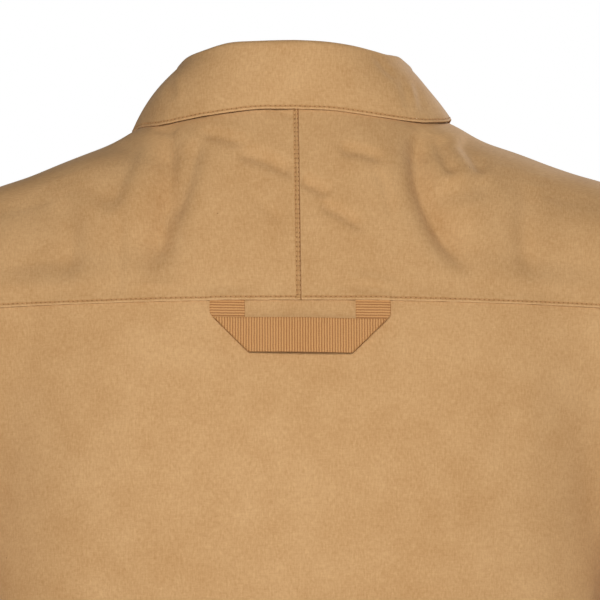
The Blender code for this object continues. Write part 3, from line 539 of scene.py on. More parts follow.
def finished(sheet, normal, edges, thickness, extra):
    """The two faces of a panel: the sheet moved along its normals by what its edges ask for. At
    its border the faces meet in a half round. Also two maps. Seam holds the stitches along the
    nearest row, and the stitch lengths off it. Edge holds the distances to the border and to an
    edge that another piece meets."""
    level = np.zeros(sheet.shape[:-1]) + extra
    thick = np.full_like(level, thickness)
    border, ditch = np.ones_like(level), np.ones_like(level)
    run, best = np.zeros_like(level), np.full_like(level, 9.0)
    for number, (inside, along, e) in enumerate(edges):
        level += e.lift * (1 - ease(inside / e.reach)) - tucked_depth(inside, e)
        if e.hem:
            turned = 1 - ease((inside - e.hem) / HEM_STEP)
            thick += thickness * turned
            level += HEM_RISE * thickness * turned
        sewn = (along > e.trim[0]) & (along < along.max() - e.trim[1])
        for row in e.rows:
            level -= GROOVE_DEPTH * np.exp(-(((inside - row) / GROOVE_WIDTH) ** 2)) * sewn
            off = (inside - row) / STITCH
            nearer = (np.abs(off) < np.abs(best)) & sewn
            best, run = np.where(nearer, off, best), np.where(nearer, along / STITCH, run)
        ripple = waves(along[..., None], 40 + number, PUCKER_LONG, PUCKER_SHORT, 9)
        level += e.pucker * ripple * np.exp(-np.abs(inside) / PUCKER_REACH)
        border = np.minimum(border, inside + e.tuck)
        if e.joined:
            ditch = np.minimum(ditch, inside)
    r = thick / 2
    drop = r * (1 - np.sqrt(1 - np.clip(1 - border / r, 0, 0.97) ** 2))
    outer, inner = (sheet + normal * way[..., None] for way in (level - drop, level - thick + drop))
    return outer, inner, {"Seam": np.stack([run, best], -1),
                          "Edge": np.stack([border, ditch], -1) / EDGE_REACH}


def quads(index):
    """The corners of a grid's faces, one row each."""
    return np.stack([index[:-1, :-1], index[1:, :-1], index[1:, 1:], index[:-1, 1:]], -1).reshape(-1, 4)


def round_again(grid):
    """A ring's grid with its first column repeated after its last."""
    return np.concatenate([grid, grid[:, :1]], axis=1)


def linked(name, data):
    """A new object in the scene, at the origin."""
    made = bpy.data.objects.new(name, data)
    bpy.context.scene.collection.objects.link(made)
    return made


def piece_of(name, points, faces, finish, slot):
    """A smooth mesh as a piece of the part."""
    mesh = bpy.data.meshes.new(name)
    mesh.from_pydata(points, [], faces)
    mesh.materials.append(finish)
    mesh.shade_smooth()
    piece = linked(name, mesh)
    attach(piece, "root")
    return piece


def wall(name, outer, inner, finish, slot, maps, ring=False):
    """A closed wall between two grids: both faces and the strips that join their borders. The
    grids of pairs in maps become its UV maps, by their names."""
    rows, cols = outer.shape[:2]
    corner = np.arange(rows * (cols + ring)).reshape(rows, cols + ring)
    point = np.arange(rows)[:, None] * cols + np.arange(cols + ring) % cols
    faces = []
    for index, size in ((point, rows * cols), (corner, corner.size)):
        under = index + size
        parts = [quads(index), quads(under)[:, ::-1],
                 quads(np.stack([under[0], index[0]])), quads(np.stack([index[-1], under[-1]]))]
        if not ring:
            parts += [quads(np.stack([under[:, 0], index[:, 0]], axis=1)),
                      quads(np.stack([index[:, -1], under[:, -1]], axis=1))]
        faces.append(np.concatenate(parts))
    points = np.concatenate([outer.reshape(-1, 3), inner.reshape(-1, 3)])
    a, b, c, d = (points[k] for k in faces[0][: len(quads(point))].T)
    away = ((outer - inner).reshape(-1, 3)[faces[0][: len(a), 0]] * np.cross(c - a, d - b)).sum()
    if away < 0:
        faces = [f[:, ::-1] for f in faces]
    piece = piece_of(name, points, faces[0], finish, slot)
    for layer, values in maps.items():
        flat = np.concatenate([values.reshape(-1, 2)] * 2)
        piece.data.uv_layers.new(name=layer).uv.foreach_set("vector", flat[faces[1].ravel()].ravel())
    return piece


def flat_cut(sheet, ring=False):
    """Each point's place on the flat cloth: its length along its row, from the row's middle, and
    along its column."""
    if ring:
        sheet = round_again(sheet)
    across, down = lengths(sheet, 1), lengths(sheet, 0)
    return np.stack([across - across[:, -1:] / 2, down + 0 * across], -1)


def row_of_stitches(outer, normal, inside, along, distance, trim):
    """The needle's holes along a row of stitches: where each line across the seam is this far
    inside it, and then every stitch's length along the seam."""
    i = np.clip((inside >= distance).argmax(0), 1, None)
    j = np.arange(inside.shape[1])
    low, high = inside[i - 1, j], inside[i, j]
    share = ((distance - low) / (high - low))[:, None]
    line = mix(outer[i - 1, j], outer[i, j], share)
    up = mix(normal[i - 1, j], normal[i, j], share)
    run = mix(along[i - 1, j], along[i, j], share[:, 0])
    first, last = run.min() + trim[0], run.max() - trim[1]
    holes = np.arange(math.ceil(first / STITCH), math.floor(last / STITCH) + 1) * STITCH
    order = np.argsort(run)
    return tuple(
        np.stack([np.interp(holes, run[order], v[order, k]) for k in range(3)], -1) for v in (line, up)
    )


THREAD = 0.00028  # half the thread's thickness
THREAD_STATIONS = np.array([0.12, 0.28, 0.5, 0.72, 0.88])
THREAD_SIDES = 5


def stitched(name, rows, half=THREAD):
    """All stitches of a piece in one mesh. Each is an arc of thread from hole to hole: its middle
    line rises as a sine above the cloth, with a ring of points round each of its stations."""
    draw = np.random.default_rng(7)
    starts, ends, ups = (np.concatenate(parts) for parts in zip(*[(p[:-1], p[1:], n[:-1]) for p, n in rows]))
    side = np.cross(ups, ends - starts)
    side /= np.linalg.norm(side, axis=-1, keepdims=True)
    skew = draw.normal(0, half * 0.22, (len(side), 1)) * side
    t = THREAD_STATIONS[None, :, None]
    rise = np.sin((t - t[0, 0]) / (t[0, -1] - t[0, 0]) * math.pi)
    middle = mix((starts - skew)[:, None], (ends + skew)[:, None], t)
    middle = middle + ups[:, None] * (rise**0.6 * half * 1.35 - half * 0.6)
    radius = half * (0.6 + 0.4 * rise**0.5)
    turn = np.arange(THREAD_SIDES) / THREAD_SIDES * 2 * math.pi
    ring = side[:, None, None] * np.cos(turn)[:, None] + ups[:, None, None] * np.sin(turn)[:, None]
    points = middle[:, :, None] + ring * radius[:, :, None]
    index = np.arange(len(THREAD_STATIONS) * THREAD_SIDES).reshape(-1, THREAD_SIDES)
    start = np.arange(len(side))[:, None, None] * index.size
    faces = (quads(round_again(index))[:, ::-1] + start).reshape(-1, 4).tolist()
    faces += (np.stack([index[0, ::-1], index[-1]]) + start).reshape(-1, THREAD_SIDES).tolist()
    return piece_of(name, points.reshape(-1, 3), faces, SEWING_THREAD, "cotton")


def piece_of_cloth(name, net, finish, step, creases=(), thickness=PLY, ring=False, drawn=None):
    """A piece of cloth with its stitches: the net's smooth sheet, drawn in by its folds, with its
    edges finished as asked for (first row, last row and, unless it is a ring, first and last
    column). Channels of the net after x, y and z are passed on to the function drawn."""
    middle = len(net) // 2
    rows = stations(net[:, net.shape[1] // 3, :3], step, finish[0].tuck, finish[1].tuck)
    if ring:
        count = round(lengths(round_again(net[middle : middle + 1, :, :3]), 1)[0, -1] / step)
        cols = np.arange(count) / count * net.shape[1]
    else:
        cols = stations(net[middle, :, :3], step, finish[2].tuck, finish[3].tuck)
    down, over = spline_rows(len(net), rows), spline_rows(net.shape[1], cols, ring)
    sheet = np.einsum("ai,ijk,bj->abk", down, net, over, optimize=True)
    sheet, more = sheet[..., :3], sheet[..., 3:]
    normal = sheet_normals(sheet, ring)
    normal *= np.sign((normal[::9, ::9] * outward(sheet[::9, ::9])).sum())  # every ninth is enough
    depth = sum(fold_depth(sheet, table) for table in creases) + shoulder_drop(sheet)
    depth = depth - UNEVEN * waves(sheet, 3, UNEVEN_LONG, UNEVEN_SHORT)
    if drawn:
        depth = depth + drawn(sheet, more)
    edges = edge_measures(sheet, finish, ring)
    outer, inner, maps = finished(sheet, normal, edges, thickness, -depth)
    if ring:
        maps = {key: round_again(grid) for key, grid in maps.items()}
    made = wall(name, outer, inner, COTTON, "cotton", {"Cut": flat_cut(sheet, ring), **maps}, ring)
    threads = []
    for number, (inside, along, e) in enumerate(edges):
        grids = outer, normal, inside, along
        if number > 1:
            grids = tuple(g.swapaxes(0, 1) for g in grids)
        if number % 2:
            grids = tuple(g[::-1] for g in grids)
        threads += [row_of_stitches(*grids, row, e.trim) for row in e.rows]
    return made, [stitched(name + "_stitches", threads)] if threads else []


def shader_node(tree, kind, *inputs, **settings):
    """A new node with its settings, and its inputs joined or set in order, None skipping one."""
    made = tree.nodes.new("ShaderNode" + kind)
    for key, value in settings.items():
        setattr(made, key, value)
    for socket, value in zip(made.inputs, inputs):
        if isinstance(value, bpy.types.NodeSocket):
            tree.links.new(value, socket)
        elif value is not None:
            socket.default_value = value
    return made.outputs


def maths(tree, kind, *values):
    return shader_node(tree, "Math", *values, operation=kind)[0]


def between_limits(tree, value, low, high, start=0.0, end=1.0):
    """A value that eases from start to end as the input goes from low to high."""
    return shader_node(tree, "MapRange", value, low, high, start, end, interpolation_type="SMOOTHSTEP")[0]


def blend(tree, share, first, second):
    """Two colours mixed by a share."""
    skipped = [None] * 5
    return shader_node(tree, "Mix", share, *skipped, first, second, data_type="RGBA")[2]


def grain(tree, place, stretch, detail=2.0):
    """Noise from 0 to 1 with so many grains a metre in each direction."""
    scaled = shader_node(tree, "VectorMath", place, stretch, operation="MULTIPLY")[0]
    return shader_node(tree, "TexNoise", scaled, None, 1.0, detail, 0.6)[0]


def weighted(tree, *pairs):
    """The sum of the pairs' values, each less a half, times their weights."""
    total = 0.0
    for value, weight in pairs:
        total = maths(tree, "MULTIPLY_ADD", maths(tree, "SUBTRACT", value, 0.5), weight, total)
    return total


# HOLE_LONG and HOLE_WIDE also size the spot of painted shade at each needle hole
HOLE_LONG, HOLE_WIDE = 0.19, 0.12  # half the size of a needle hole, in stitches
SPECKS = 85.0  # places for a speck, a metre

CLOTH_MAPS = "Cut Seam Edge"


def node_group(name, inputs, outputs):
    """An empty node group, from (kind, names of its sockets): its tree, inputs and outputs."""
    tree = bpy.data.node_groups.new(name, "ShaderNodeTree")
    for way, sockets in (("INPUT", inputs), ("OUTPUT", outputs)):
        for kind, names in sockets:
            for socket in names.split():
                tree.interface.new_socket(socket, in_out=way, socket_type="NodeSocket" + kind)
    return tree, tree.nodes.new("NodeGroupInput").outputs, tree.nodes.new("NodeGroupOutput").inputs


def woven_cloth():
    """Node group of a brushed cotton. Fine slubs up and across and soft blotches shift its colour between a
    dark and a light one, and rare dark specks are its own. Painted shade darkens its needle holes, its rows
    of stitches and the ditch where another piece meets it, and a painted highlight lightens it just inside
    its border. Height is in mm."""
    tree, given, out = node_group(
        "brushed cotton weave", (("Vector", CLOTH_MAPS + " Place"), ("Color", "Dark Light Hole")),
        (("Color", "Colour"), ("Float", "Roughness Height")))
    cut, seam, edge_map, place, dark, light, hole = given[:7]
    slub = grain(tree, cut, (1050, 230, 0), 3.0)
    weft = grain(tree, cut, (240, 1150, 0), 3.0)
    nap = grain(tree, cut, (560, 430, 0), 2.0)
    blotch = grain(tree, place, (52, 52, 52), 4.0)
    broad = grain(tree, place, (11, 11, 11), 2.0)
    shade = maths(tree, "ADD", weighted(
        tree, (slub, 1.0), (weft, 0.6), (nap, 0.75), (blotch, 0.7), (broad, 0.5)), 0.5)
    run, off, _ = shader_node(tree, "SeparateXYZ", seam)
    along = maths(tree, "SUBTRACT", maths(tree, "FRACT", maths(tree, "ADD", run, 0.5)), 0.5)
    off_hole = shader_node(tree, "CombineXYZ", maths(tree, "DIVIDE", along, HOLE_LONG),
                           maths(tree, "DIVIDE", off, HOLE_WIDE))[0]
    # where the needle holes are: each gets a dent and a spot of painted shade
    needle = between_limits(tree, shader_node(tree, "VectorMath", off_hole, operation="LENGTH")[1],
                            0.55, 1.25, 1.0, 0.0)
    # painted shade along each row of stitches, where its groove lies
    groove = between_limits(tree, maths(tree, "ABSOLUTE", off), 0.05, 0.42, 1.0, 0.0)
    border, joined, _ = shader_node(tree, "SeparateXYZ", edge_map)
    # painted shade in the ditch where another piece meets this one
    ditch = between_limits(tree, joined, 0.030, 0.070, 1.0, 0.0)
    # a painted highlight just inside the border, less the ditch's painted shade
    fold = maths(tree, "SUBTRACT", between_limits(tree, border, 0.03, 0.12, 1.0, 0.0), ditch)
    shade = maths(tree, "ADD", shade, maths(tree, "MULTIPLY", fold, 0.35))
    shade = maths(tree, "SUBTRACT", shade, maths(tree, "MULTIPLY", groove, 0.45))
    cell = shader_node(tree, "TexVoronoi", place, None, SPECKS)
    chosen = between_limits(tree, shader_node(tree, "SeparateXYZ", cell[1])[0], 0.93, 0.95)
    speck = maths(tree, "MULTIPLY", chosen, between_limits(tree, cell[0], 0.025, 0.060, 0.7, 0.0))
    # The dark colour goes on the specks, which are the cloth's own, and as painted shade into the needle
    # holes and the ditches of seams
    darkened = maths(tree, "MAXIMUM", speck, maths(tree, "MULTIPLY", needle, 0.6))
    darkened = maths(tree, "MAXIMUM", darkened, maths(tree, "MULTIPLY", ditch, 0.5))
    tree.links.new(blend(tree, darkened, blend(tree, shade, dark, light), hole), out[0])
    tree.links.new(maths(tree, "ADD", weighted(tree, (slub, 0.2)), 0.84), out[1])
    height = weighted(tree, (slub, 0.09), (weft, 0.07), (nap, 0.10), (blotch, 0.12))
    tree.links.new(maths(tree, "SUBTRACT", height, maths(tree, "MULTIPLY", needle, 0.22)), out[2])
    return tree


def new_finish(name):
    """A material with an empty shader, as the material, its tree and the shader's inputs."""
    made = bpy.data.materials.new(name)
    made.use_nodes = True
    return made, made.node_tree, made.node_tree.nodes["Principled BSDF"].inputs


def raised(tree, height, strength=1.0):
    """A normal from a height in millimetres."""
    return shader_node(tree, "Bump", strength, 0.001, None, height)[0]


def uneven():
    """Node group of fine uneven colour: a share, moved by noise, between a dark and a light one."""
    tree, given, out = node_group(
        "uneven colour", (("Vector", "Place Grains"), ("Float", "Share Amount"), ("Color", "Dark Light")),
        (("Color", "Colour"),))
    place, grains, share, amount, dark, light = given[:6]
    noise = maths(tree, "SUBTRACT", grain(tree, place, grains, 3.0), 0.5)
    shade = maths(tree, "ADD", share, maths(tree, "MULTIPLY", noise, amount))
    tree.links.new(blend(tree, shade, dark, light), out[0])
    return tree


UNEVEN_COLOUR = uneven()


def cotton():
    made, tree, shader = new_finish("brushed cotton")
    maps = [shader_node(tree, "UVMap", uv_map=name)[0] for name in CLOTH_MAPS.split()]
    place = shader_node(tree, "TexCoord")[3]
    # Cloth tones, then the dark colour of its specks, which is also the painted shade of needle holes and
    # ditches
    dark, light, hole = (0.480, 0.257, 0.098, 1), (0.670, 0.410, 0.194, 1), (0.250, 0.105, 0.033, 1)
    colour, rough, height = shader_node(
        tree, "Group", *maps, place, dark, light, hole, node_tree=woven_cloth())
    tree.links.new(colour, shader["Base Color"])
    tree.links.new(rough, shader["Roughness"])
    tree.links.new(raised(tree, height), shader["Normal"])
    shader["Specular IOR Level"].default_value = 0.15
    shader["Sheen Weight"].default_value = 0.05
    shader["Sheen Roughness"].default_value = 0.5
    return made


def sewing_thread():
    """Spun thread of two plies twisted together, which show as slanted bands."""
    made, tree, shader = new_finish("sewing thread")
    place = shader_node(tree, "TexCoord")[3]
    ply = shader_node(tree, "TexWave", place, 420.0, 1.5, 2.0)[1]
    colour = shader_node(tree, "Group", place, (900, 900, 900), ply, 0.8, (0.440, 0.205, 0.070, 1),
                         (0.660, 0.375, 0.160, 1), node_tree=UNEVEN_COLOUR)
    tree.links.new(colour[0], shader["Base Color"])
    tree.links.new(raised(tree, maths(tree, "MULTIPLY", ply, 0.05)), shader["Normal"])
    shader["Roughness"].default_value = 0.7
    return made


COTTON, SEWING_THREAD = cotton(), sewing_thread()

back, threads = piece_of_cloth(
    "back", back_net(), (HEMMED, TUCKED, FELLED, FELLED), 0.0036, creases=(FOLDS, BACK_CREASES),
)
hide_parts("back_panel")

# Hanger loop ---------------------------------------------
# A length of cross-ribbed tape. Its two ends are sewn into the yoke seam, and a slanted fold at
# each turns it level.

LAY_GAP = 0.0003  # between pieces that lie on each other
TAPE = 0.0008
TAPE_WIDTH = 0.0210
CORNERS = 0.0287, -0.0338  # where its two folds meet the lower edge of the level stretch
END_SHIFT = 0.0021  # how much farther out its upright ends run
UNDER_YOKE = 0.0030  # how far they reach up under the yoke
END_DEPTH = 0.0005  # how much deeper they lie there
LOOP_TOP = -0.1142  # top edge of the level stretch
LOOP_SLOPE = 0.013  # its left end is higher, by this share of the distance
LOOP_SQUASH = 0.97
LOOP_FOLD = 0.0008  # radius of the fold, at the middle of the tape
LOOP_BOW = 0.0022  # the level stretch stands off this much more at its middle
RIB = 0.00161  # from one rib of the tape to the next
RIB_HEIGHT = 0.00017
TAPE_ROWS, TAPE_COLUMNS = 24, 560
CROWDED = 0.7  # how much closer together the rows lie at the tape's two edges
END_EASE, DEPTH_FADE = 0.0022, 0.0040  # how soon after the fold, and below the seam, the ends shift
END_BULGE = 0.0010  # how far its ends push out the yoke's edge, which fades over the three below
BULGE_PAST, BULGE_RISE, BULGE_UP = 0.0018, 0.0022, 0.0060


def tape_columns(count):
    """The flat tape's columns as (low edge, high edge): slanted along the folds, upright at the
    ends and the middle."""
    low_l, low_r = CORNERS
    rise = YOKE_SEAM_HEIGHT + UNDER_YOKE - (LOOP_TOP - TAPE_WIDTH)
    half = math.pi * LOOP_FOLD / 2 * math.sqrt(2)
    left = [(low_l + rise, low_l + rise)]
    left += [(low_l + b + s * (rise - b), low_l + TAPE_WIDTH + b + s * (rise - TAPE_WIDTH - b))
             for s, b in ((0.5, half), (0.2, half))]
    left += [(low_l + half, low_l + TAPE_WIDTH + half), (low_l - half, low_l + TAPE_WIDTH - half)]
    right = [(low_r - (a - low_l), low_r - (b - low_l)) for a, b in left[::-1]]
    ends = np.array(left + right)
    run = np.concatenate([[0], np.cumsum(np.abs(np.diff(ends.sum(1))))])
    return np.stack([np.interp(np.linspace(0, run[-1], count), run, ends[:, k]) for k in range(2)], -1)


def loop_sheet(rows, count):
    """The tape's middle surface on the back, and the flat tape's place of each of its points.

    A point's distance past the slanted line is wound round a half circle, and what lies beyond is
    turned back under the level stretch, which makes it run straight up.
    """
    cols = tape_columns(count)
    share = np.linspace(0, 1, rows)[:, None]
    across = mix(share, (1 - np.cos(share * math.pi)) / 2, CROWDED)
    along = mix(cols[:, 0], cols[:, 1], across)
    u = along
    v = LOOP_TOP - TAPE_WIDTH + across * TAPE_WIDTH + 0 * u
    height = np.full(u.shape, LAY_GAP + TAPE / 2 + 2 * LOOP_FOLD)
    middle = sum(CORNERS) / 2
    reach = CORNERS[0] - middle + TAPE_WIDTH / 2
    height = height + LOOP_BOW * np.cos(np.clip((u - middle) / reach, -1, 1) * math.pi / 2) ** 2
    quarter = math.pi * LOOP_FOLD / 2
    for side, corner in zip((1, -1), CORNERS):
        past = (side * (u - corner) - (v - LOOP_TOP + TAPE_WIDTH)) / math.sqrt(2)
        wound = np.clip((past + quarter) / LOOP_FOLD, 0, math.pi)
        now = np.where(past > -quarter, -quarter + LOOP_FOLD * np.sin(wound), past)
        now = np.where(past > quarter, -past, now)
        height = np.where(past > -quarter, LAY_GAP + TAPE / 2 + LOOP_FOLD * (1 + np.cos(wound)), height)
        u = u + side * ((now - past) / math.sqrt(2) + END_SHIFT * ease(past / END_EASE))
        v = v - (now - past) / math.sqrt(2)
    height = height - END_DEPTH * ease((v - YOKE_SEAM_HEIGHT + DEPTH_FADE) / DEPTH_FADE)
    v = LOOP_TOP + (v - LOOP_TOP) * LOOP_SQUASH + LOOP_SLOPE * (u - middle)
    base = on_side(u, v, 1)
    normal = outward(base)
    base = base - normal * (fold_depth(base, FOLDS) + fold_depth(base, BACK_CREASES))[..., None]
    return base + normal * height[..., None], normal, np.stack([along, across * TAPE_WIDTH + 0 * u], -1)


def ribbed_tape():
    """Grosgrain: painted shade in the grooves between its ribs and a painted highlight on their tops, and
    fine warp threads that run over them.
    """
    made, tree, shader = new_finish("ribbed tape")
    flat = shader_node(tree, "UVMap", uv_map="Cut")[0]
    stray = weighted(tree, (grain(tree, flat, (90, 420, 0)), 0.00045))
    run = maths(tree, "ADD", shader_node(tree, "SeparateXYZ", flat)[0], stray)
    turn = maths(tree, "COSINE", maths(tree, "MULTIPLY", run, 2 * math.pi / RIB))
    warp = grain(tree, flat, (260, 3600, 0), 2.0)
    # the ribs' cosine gives painted shade in the grooves and a painted highlight on the rib tops, with the
    # warp's noise on top
    rib = maths(tree, "ADD", between_limits(tree, turn, -1.0, 0.5), weighted(tree, (warp, 1.1)))
    # the dark colour is the grooves' painted shade, the light one the rib tops' painted highlight
    colour = shader_node(tree, "Group", flat, (700, 1500, 1), rib, 0.6, (0.360, 0.150, 0.046, 1),
                         (0.620, 0.325, 0.124, 1), node_tree=UNEVEN_COLOUR)
    tree.links.new(colour[0], shader["Base Color"])
    tree.links.new(raised(tree, maths(tree, "MULTIPLY", warp, 0.10)), shader["Normal"])
    shader["Roughness"].default_value = 0.7
    shader["Specular IOR Level"].default_value = 0.2
    return made


tape, tape_out, flat_tape = loop_sheet(TAPE_ROWS, TAPE_COLUMNS)
face = sheet_normals(tape)
face *= np.sign((face * tape_out).sum(-1)[:, TAPE_COLUMNS // 2].mean())
from_edge = np.minimum(flat_tape[..., 1], TAPE_WIDTH - flat_tape[..., 1])
half = TAPE / 2 * np.sqrt(1 - np.clip(1 - from_edge / (TAPE / 2), 0, 0.97) ** 2)
rib = RIB_HEIGHT * np.cos(flat_tape[..., 0] / RIB * 2 * math.pi) * ease(from_edge / 0.0008)
loop = wall("hanger_loop", tape + face * (half + rib)[..., None],
            tape - face * (half - rib * 0.8)[..., None], ribbed_tape(), "ribbed_tape", {"Cut": flat_tape})
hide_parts("hanger_loop")

# Yoke ----------------------------------------------------
# Two halves of doubled cotton over the shoulders, sewn together down the centre of the back. Their
# folded lower edges lie on the back and the fronts, and one row of stitches close by holds them.

COLLAR = columns(  # by the angle round the neck: 0 at the back, 180 at the front
    "angle neck_height top_height lean edge_angle edge_height",
    (0, 20, 49.6, 0.92, 0, 10.9),
    (30, 19, 48.8, 0.92, 27, 9.5),
    (45, 18, 47.4, 0.915, 44, 6.2),
    (60, 16.2, 43.8, 0.905, 61, 2.8),
    (90, 12, 37.1, 0.892, 89, 2.8),
    (105, 5.5, 29.4, 0.885, 104, -5.2),
    (120, -4, 18.5, 0.88, 117, -20.5),
    (150, -34, -10, 0.9, 136, -60),
    (180, -55, -29, 0.91, 150, -88),
    mm="neck_height top_height edge_height",
)
FRONT_YOKE_NECK = math.radians(128)  # where the front yoke seam meets the neck seam
DITCH_TOP, DITCH_FOOT = -0.0017, -0.0030  # the centre seam leans a little to the wearer's right
NECK_REACH = 0.057  # from the torso's middle line to the neck seam, at the back
YOKE_ROWS_BACK = 26


def folded(angle):
    """An angle round the neck, in degrees, brought to the 0 to 180 that the collar's table holds."""
    return np.degrees(np.abs((angle + math.pi) % (2 * math.pi) - math.pi))


def neck_seam(angle):
    return on_section(angle, smooth(folded(angle), COLLAR.angle, COLLAR.neck_height))


def yoke_net(side):
    """A half's net on the +X side, from the back seam up the centre, round the neck and to the
    front seam. The right half (side -1) is mirrored afterwards."""
    centre = np.linspace(YOKE_SEAM_HEIGHT, COLLAR.neck_height[0], YOKE_ROWS_BACK)
    ditch = side * np.linspace(DITCH_FOOT, DITCH_TOP, YOKE_ROWS_BACK)
    neck = np.linspace(ditch[-1] / NECK_REACH, FRONT_YOKE_NECK, 34)[1:]
    inner = np.concatenate([on_side(ditch, centre, 1), neck_seam(neck)])
    outer = armhole(even_turns(BACK_YOKE_TURN, FRONT_YOKE_TURN, len(inner)))
    bend = 1 + ease(1 - np.linspace(0, 1, len(inner)) * 2)
    net = between(inner, outer, bend=bend)
    seam = yoke_seam()
    seam[:, 0] = mix(ditch[0], seam[-1, 0], ACROSS)
    net[0] = on_side(seam[:, 0], seam[:, 2], 1)
    return net


YOKE_CREASES = fold_table(  # folds that hang from the collar, and small creases between them
    (1, 82.5, 6, 79, -40, 90.5, -92, 11.5, 9.6, 10),
    (1, 60.5, -4, 64.8, -29, 77.5, -60, 8, 5.6, 4.2),
    (1, 170, -30, 162, -60, 156, -98, 30, 42, 6),
    (1, -168, -30, -160, -60, -154, -98, 42, 30, 4.5),
    (1, 97, 0, 106.2, -24, 117, -52, 16, 7, 4.2),
    (1, -81.5, 6, -78.2, -38, -111, -92, 7.2, 11.5, 9.8),
    (1, -89, -3, -92, -15, -98, -29, 4, 6, 3.8),
    (1, -101, -5, -108, -15, -118, -28, 5, 7, 4),
    (1, -85, -34.2, -101.4, -37.2, -122, -29, 7.5, 2.6),
    (1, 60, -2.2, 42.6, -5.4, 24, -11.2, 3.4, 2.1),
    (1, 38, -14, 18.4, -18.6, -3, -29, 4.2, 3.2),
    (1, -2, -31, -11.8, -34.4, -22.5, -40, 3.6, 3.1),
    (1, -13, -44, -27.6, -51, -43, -60.8, 3.5, 2.7),
    (1, -25, -12.8, -39.6, -13.8, -56, -19.8, 3.5, 2.5),
    (1, -46, -22, -55.2, -37.2, -56.6, -56, 3, 1.1),
    (1, 24.4, -38, 16.8, -49.2, 4.6, -56.6, 3, 0.9),
    (1, 107.4, -43, 106.8, -75, 107.6, -106, 3, 1.1),
    (1, 36.4, -64, 37.2, -76, 38, -88, 2.8, 0.8),
    (1, -29.4, -91.2, -48, -91.5, -65.4, -98.4, 3, -0.8),
    (1, 102, -94.2, 83, -94.5, 66.6, -93.2, 3, -0.8),
    (1, 18, 13.4, 8, 10, -1, 8.2, 2, 1.2),
    (1, 88, -0.5, 80, 0.8, 72, -1.6, 2.2, 1.4),
    (1, 150, -36, 138, -62, 142, -96, 7, 2),
    (1, -148, -34, -140, -60, -146, -96, 7, 2),
    (-1, 86, -6, 104, -22, 130, -42, 5, 3),
    (-1, -85, -6, -102, -24, -124, -44, 5, 3),
)


def tape_bulge(sheet):
    """How far the tape's ends push the yoke's edge out: over each, fading on both sides of it and
    upwards."""
    x, z = sheet[..., 0], sheet[..., 2]
    over = 0
    for side, corner in zip((1, -1), CORNERS):
        out = side * (x - corner) - END_SHIFT
        over = over + (ease((out + BULGE_PAST) / BULGE_RISE)
                       * ease((TAPE_WIDTH + BULGE_PAST - out) / BULGE_RISE))
    return END_BULGE * over * ease(1 - (z - YOKE_SEAM_HEIGHT - 0.0015) / BULGE_UP) * (sheet[..., 1] > 0)


YOKE_EDGE = edge(lift=TURNED, rows=(0.0020,), pucker=0.0003)
for side, name in SIDES:
    net = yoke_net(side)
    neck_run = lengths(net[YOKE_ROWS_BACK:, 0])[-1]
    centre_edge = edge(lift=0.0003, rows=(0.0003, 0.0023) if side > 0 else (), pucker=0.00015,
                       trim=(0.0006, neck_run + 0.006), joined=True)
    if side < 0:
        net = mirrored(net)
    yoke, threads = piece_of_cloth(
        "yoke_" + name, net, (YOKE_EDGE, YOKE_EDGE, centre_edge, ARMHOLE_EDGE), 0.0020,
        creases=(FOLDS, YOKE_CREASES), drawn=lambda sheet, more: -tape_bulge(sheet),
    )
    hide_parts(f"yoke_{name}")

# Fronts --------------------------------------------------
# Two panels of the same cotton that meet at the centre under the band. Their tops are tucked under
# the yoke, and their sides are felled to the back.

BAND_LEFT, BAND_RIGHT = 0.018, -0.016
FRONT_LEVEL_ROWS = 33


def front_net():
    """The front's net on the +X side, hem to front yoke seam."""
    neck = neck_seam(np.linspace(math.pi, FRONT_YOKE_NECK, 14))
    up_edge = np.concatenate([LOW_ROWS, np.linspace(ARMPIT, neck[0, 2], FRONT_ROWS)])
    inner = np.concatenate([on_side(0 * up_edge, up_edge, -1), neck[1:]])
    turns = even_turns(-math.pi, FRONT_YOKE_TURN, len(inner) - len(LOW_ROWS))
    outer = np.concatenate([on_section(math.pi / 2, LOW_ROWS), armhole(turns)])
    low = between(inner[:FRONT_LEVEL_ROWS], outer[:FRONT_LEVEL_ROWS], bend=2.0, turning=True)
    bend = 1 + ease(1 - np.linspace(0.2, 1, len(inner) - FRONT_LEVEL_ROWS))
    high = between(inner[FRONT_LEVEL_ROWS:], outer[FRONT_LEVEL_ROWS:], bend=bend)
    return np.concatenate([low, high])


FRONT_CREASES = fold_table(
    (-1, 190, -260, 140, -300, 90, -310, 6, 3.2),
    (-1, -196, -250, -150, -284, -104, -290, 6, 3.2),
    (-1, 30, -180, 60, -290, 46, -400, 14, 4.2),
    (-1, -30, -200, -56, -300, -44, -390, 14, 4.2),
    (-1, 34, -430, 70, -500, 60, -600, 12, 3.8),
    (-1, -36, -400, -78, -480, -64, -570, 12, 3.8),
    (-1, 170, -440, 120, -470, 80, -460, 7, 2.2),
    (-1, -172, -460, -130, -486, -94, -480, 7, 2.2),
)
FRONT_NET = front_net()
SIDE_RUN = lengths(FRONT_NET[: len(LOW_ROWS) + 1, -1])[-1]
FRONT_SIDE = edge(lift=TURNED, rows=(0.0080,), pucker=0.0004, trim=(SIDE_RUN + 0.004, 0.0006))
for side, name in SIDES:
    net = FRONT_NET if side > 0 else mirrored(FRONT_NET)
    front, threads = piece_of_cloth(
        "front_" + name, net, (HEMMED, TUCKED, PLAIN, FRONT_SIDE), 0.0038, creases=(FOLDS, FRONT_CREASES),
    )
    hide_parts(f"front_{name}")

# Sleeves -------------------------------------------------
# One panel each, sewn to a tube under the arm. The top is set into the armhole, and the other end
# is eased and pleated into the cuff.

SLEEVE_ROWS, SLEEVE_COLUMNS = 58, 44
EVEN_SOON = 1.4  # the columns lie evenly round the arm after one part in this of the sleeve
HEAD_FADE = 0.05  # how far below the armhole the folds have reached their depth
SLEEVE_TURNS = even_turns(-math.pi, math.pi, SLEEVE_COLUMNS + 1)[:-1]


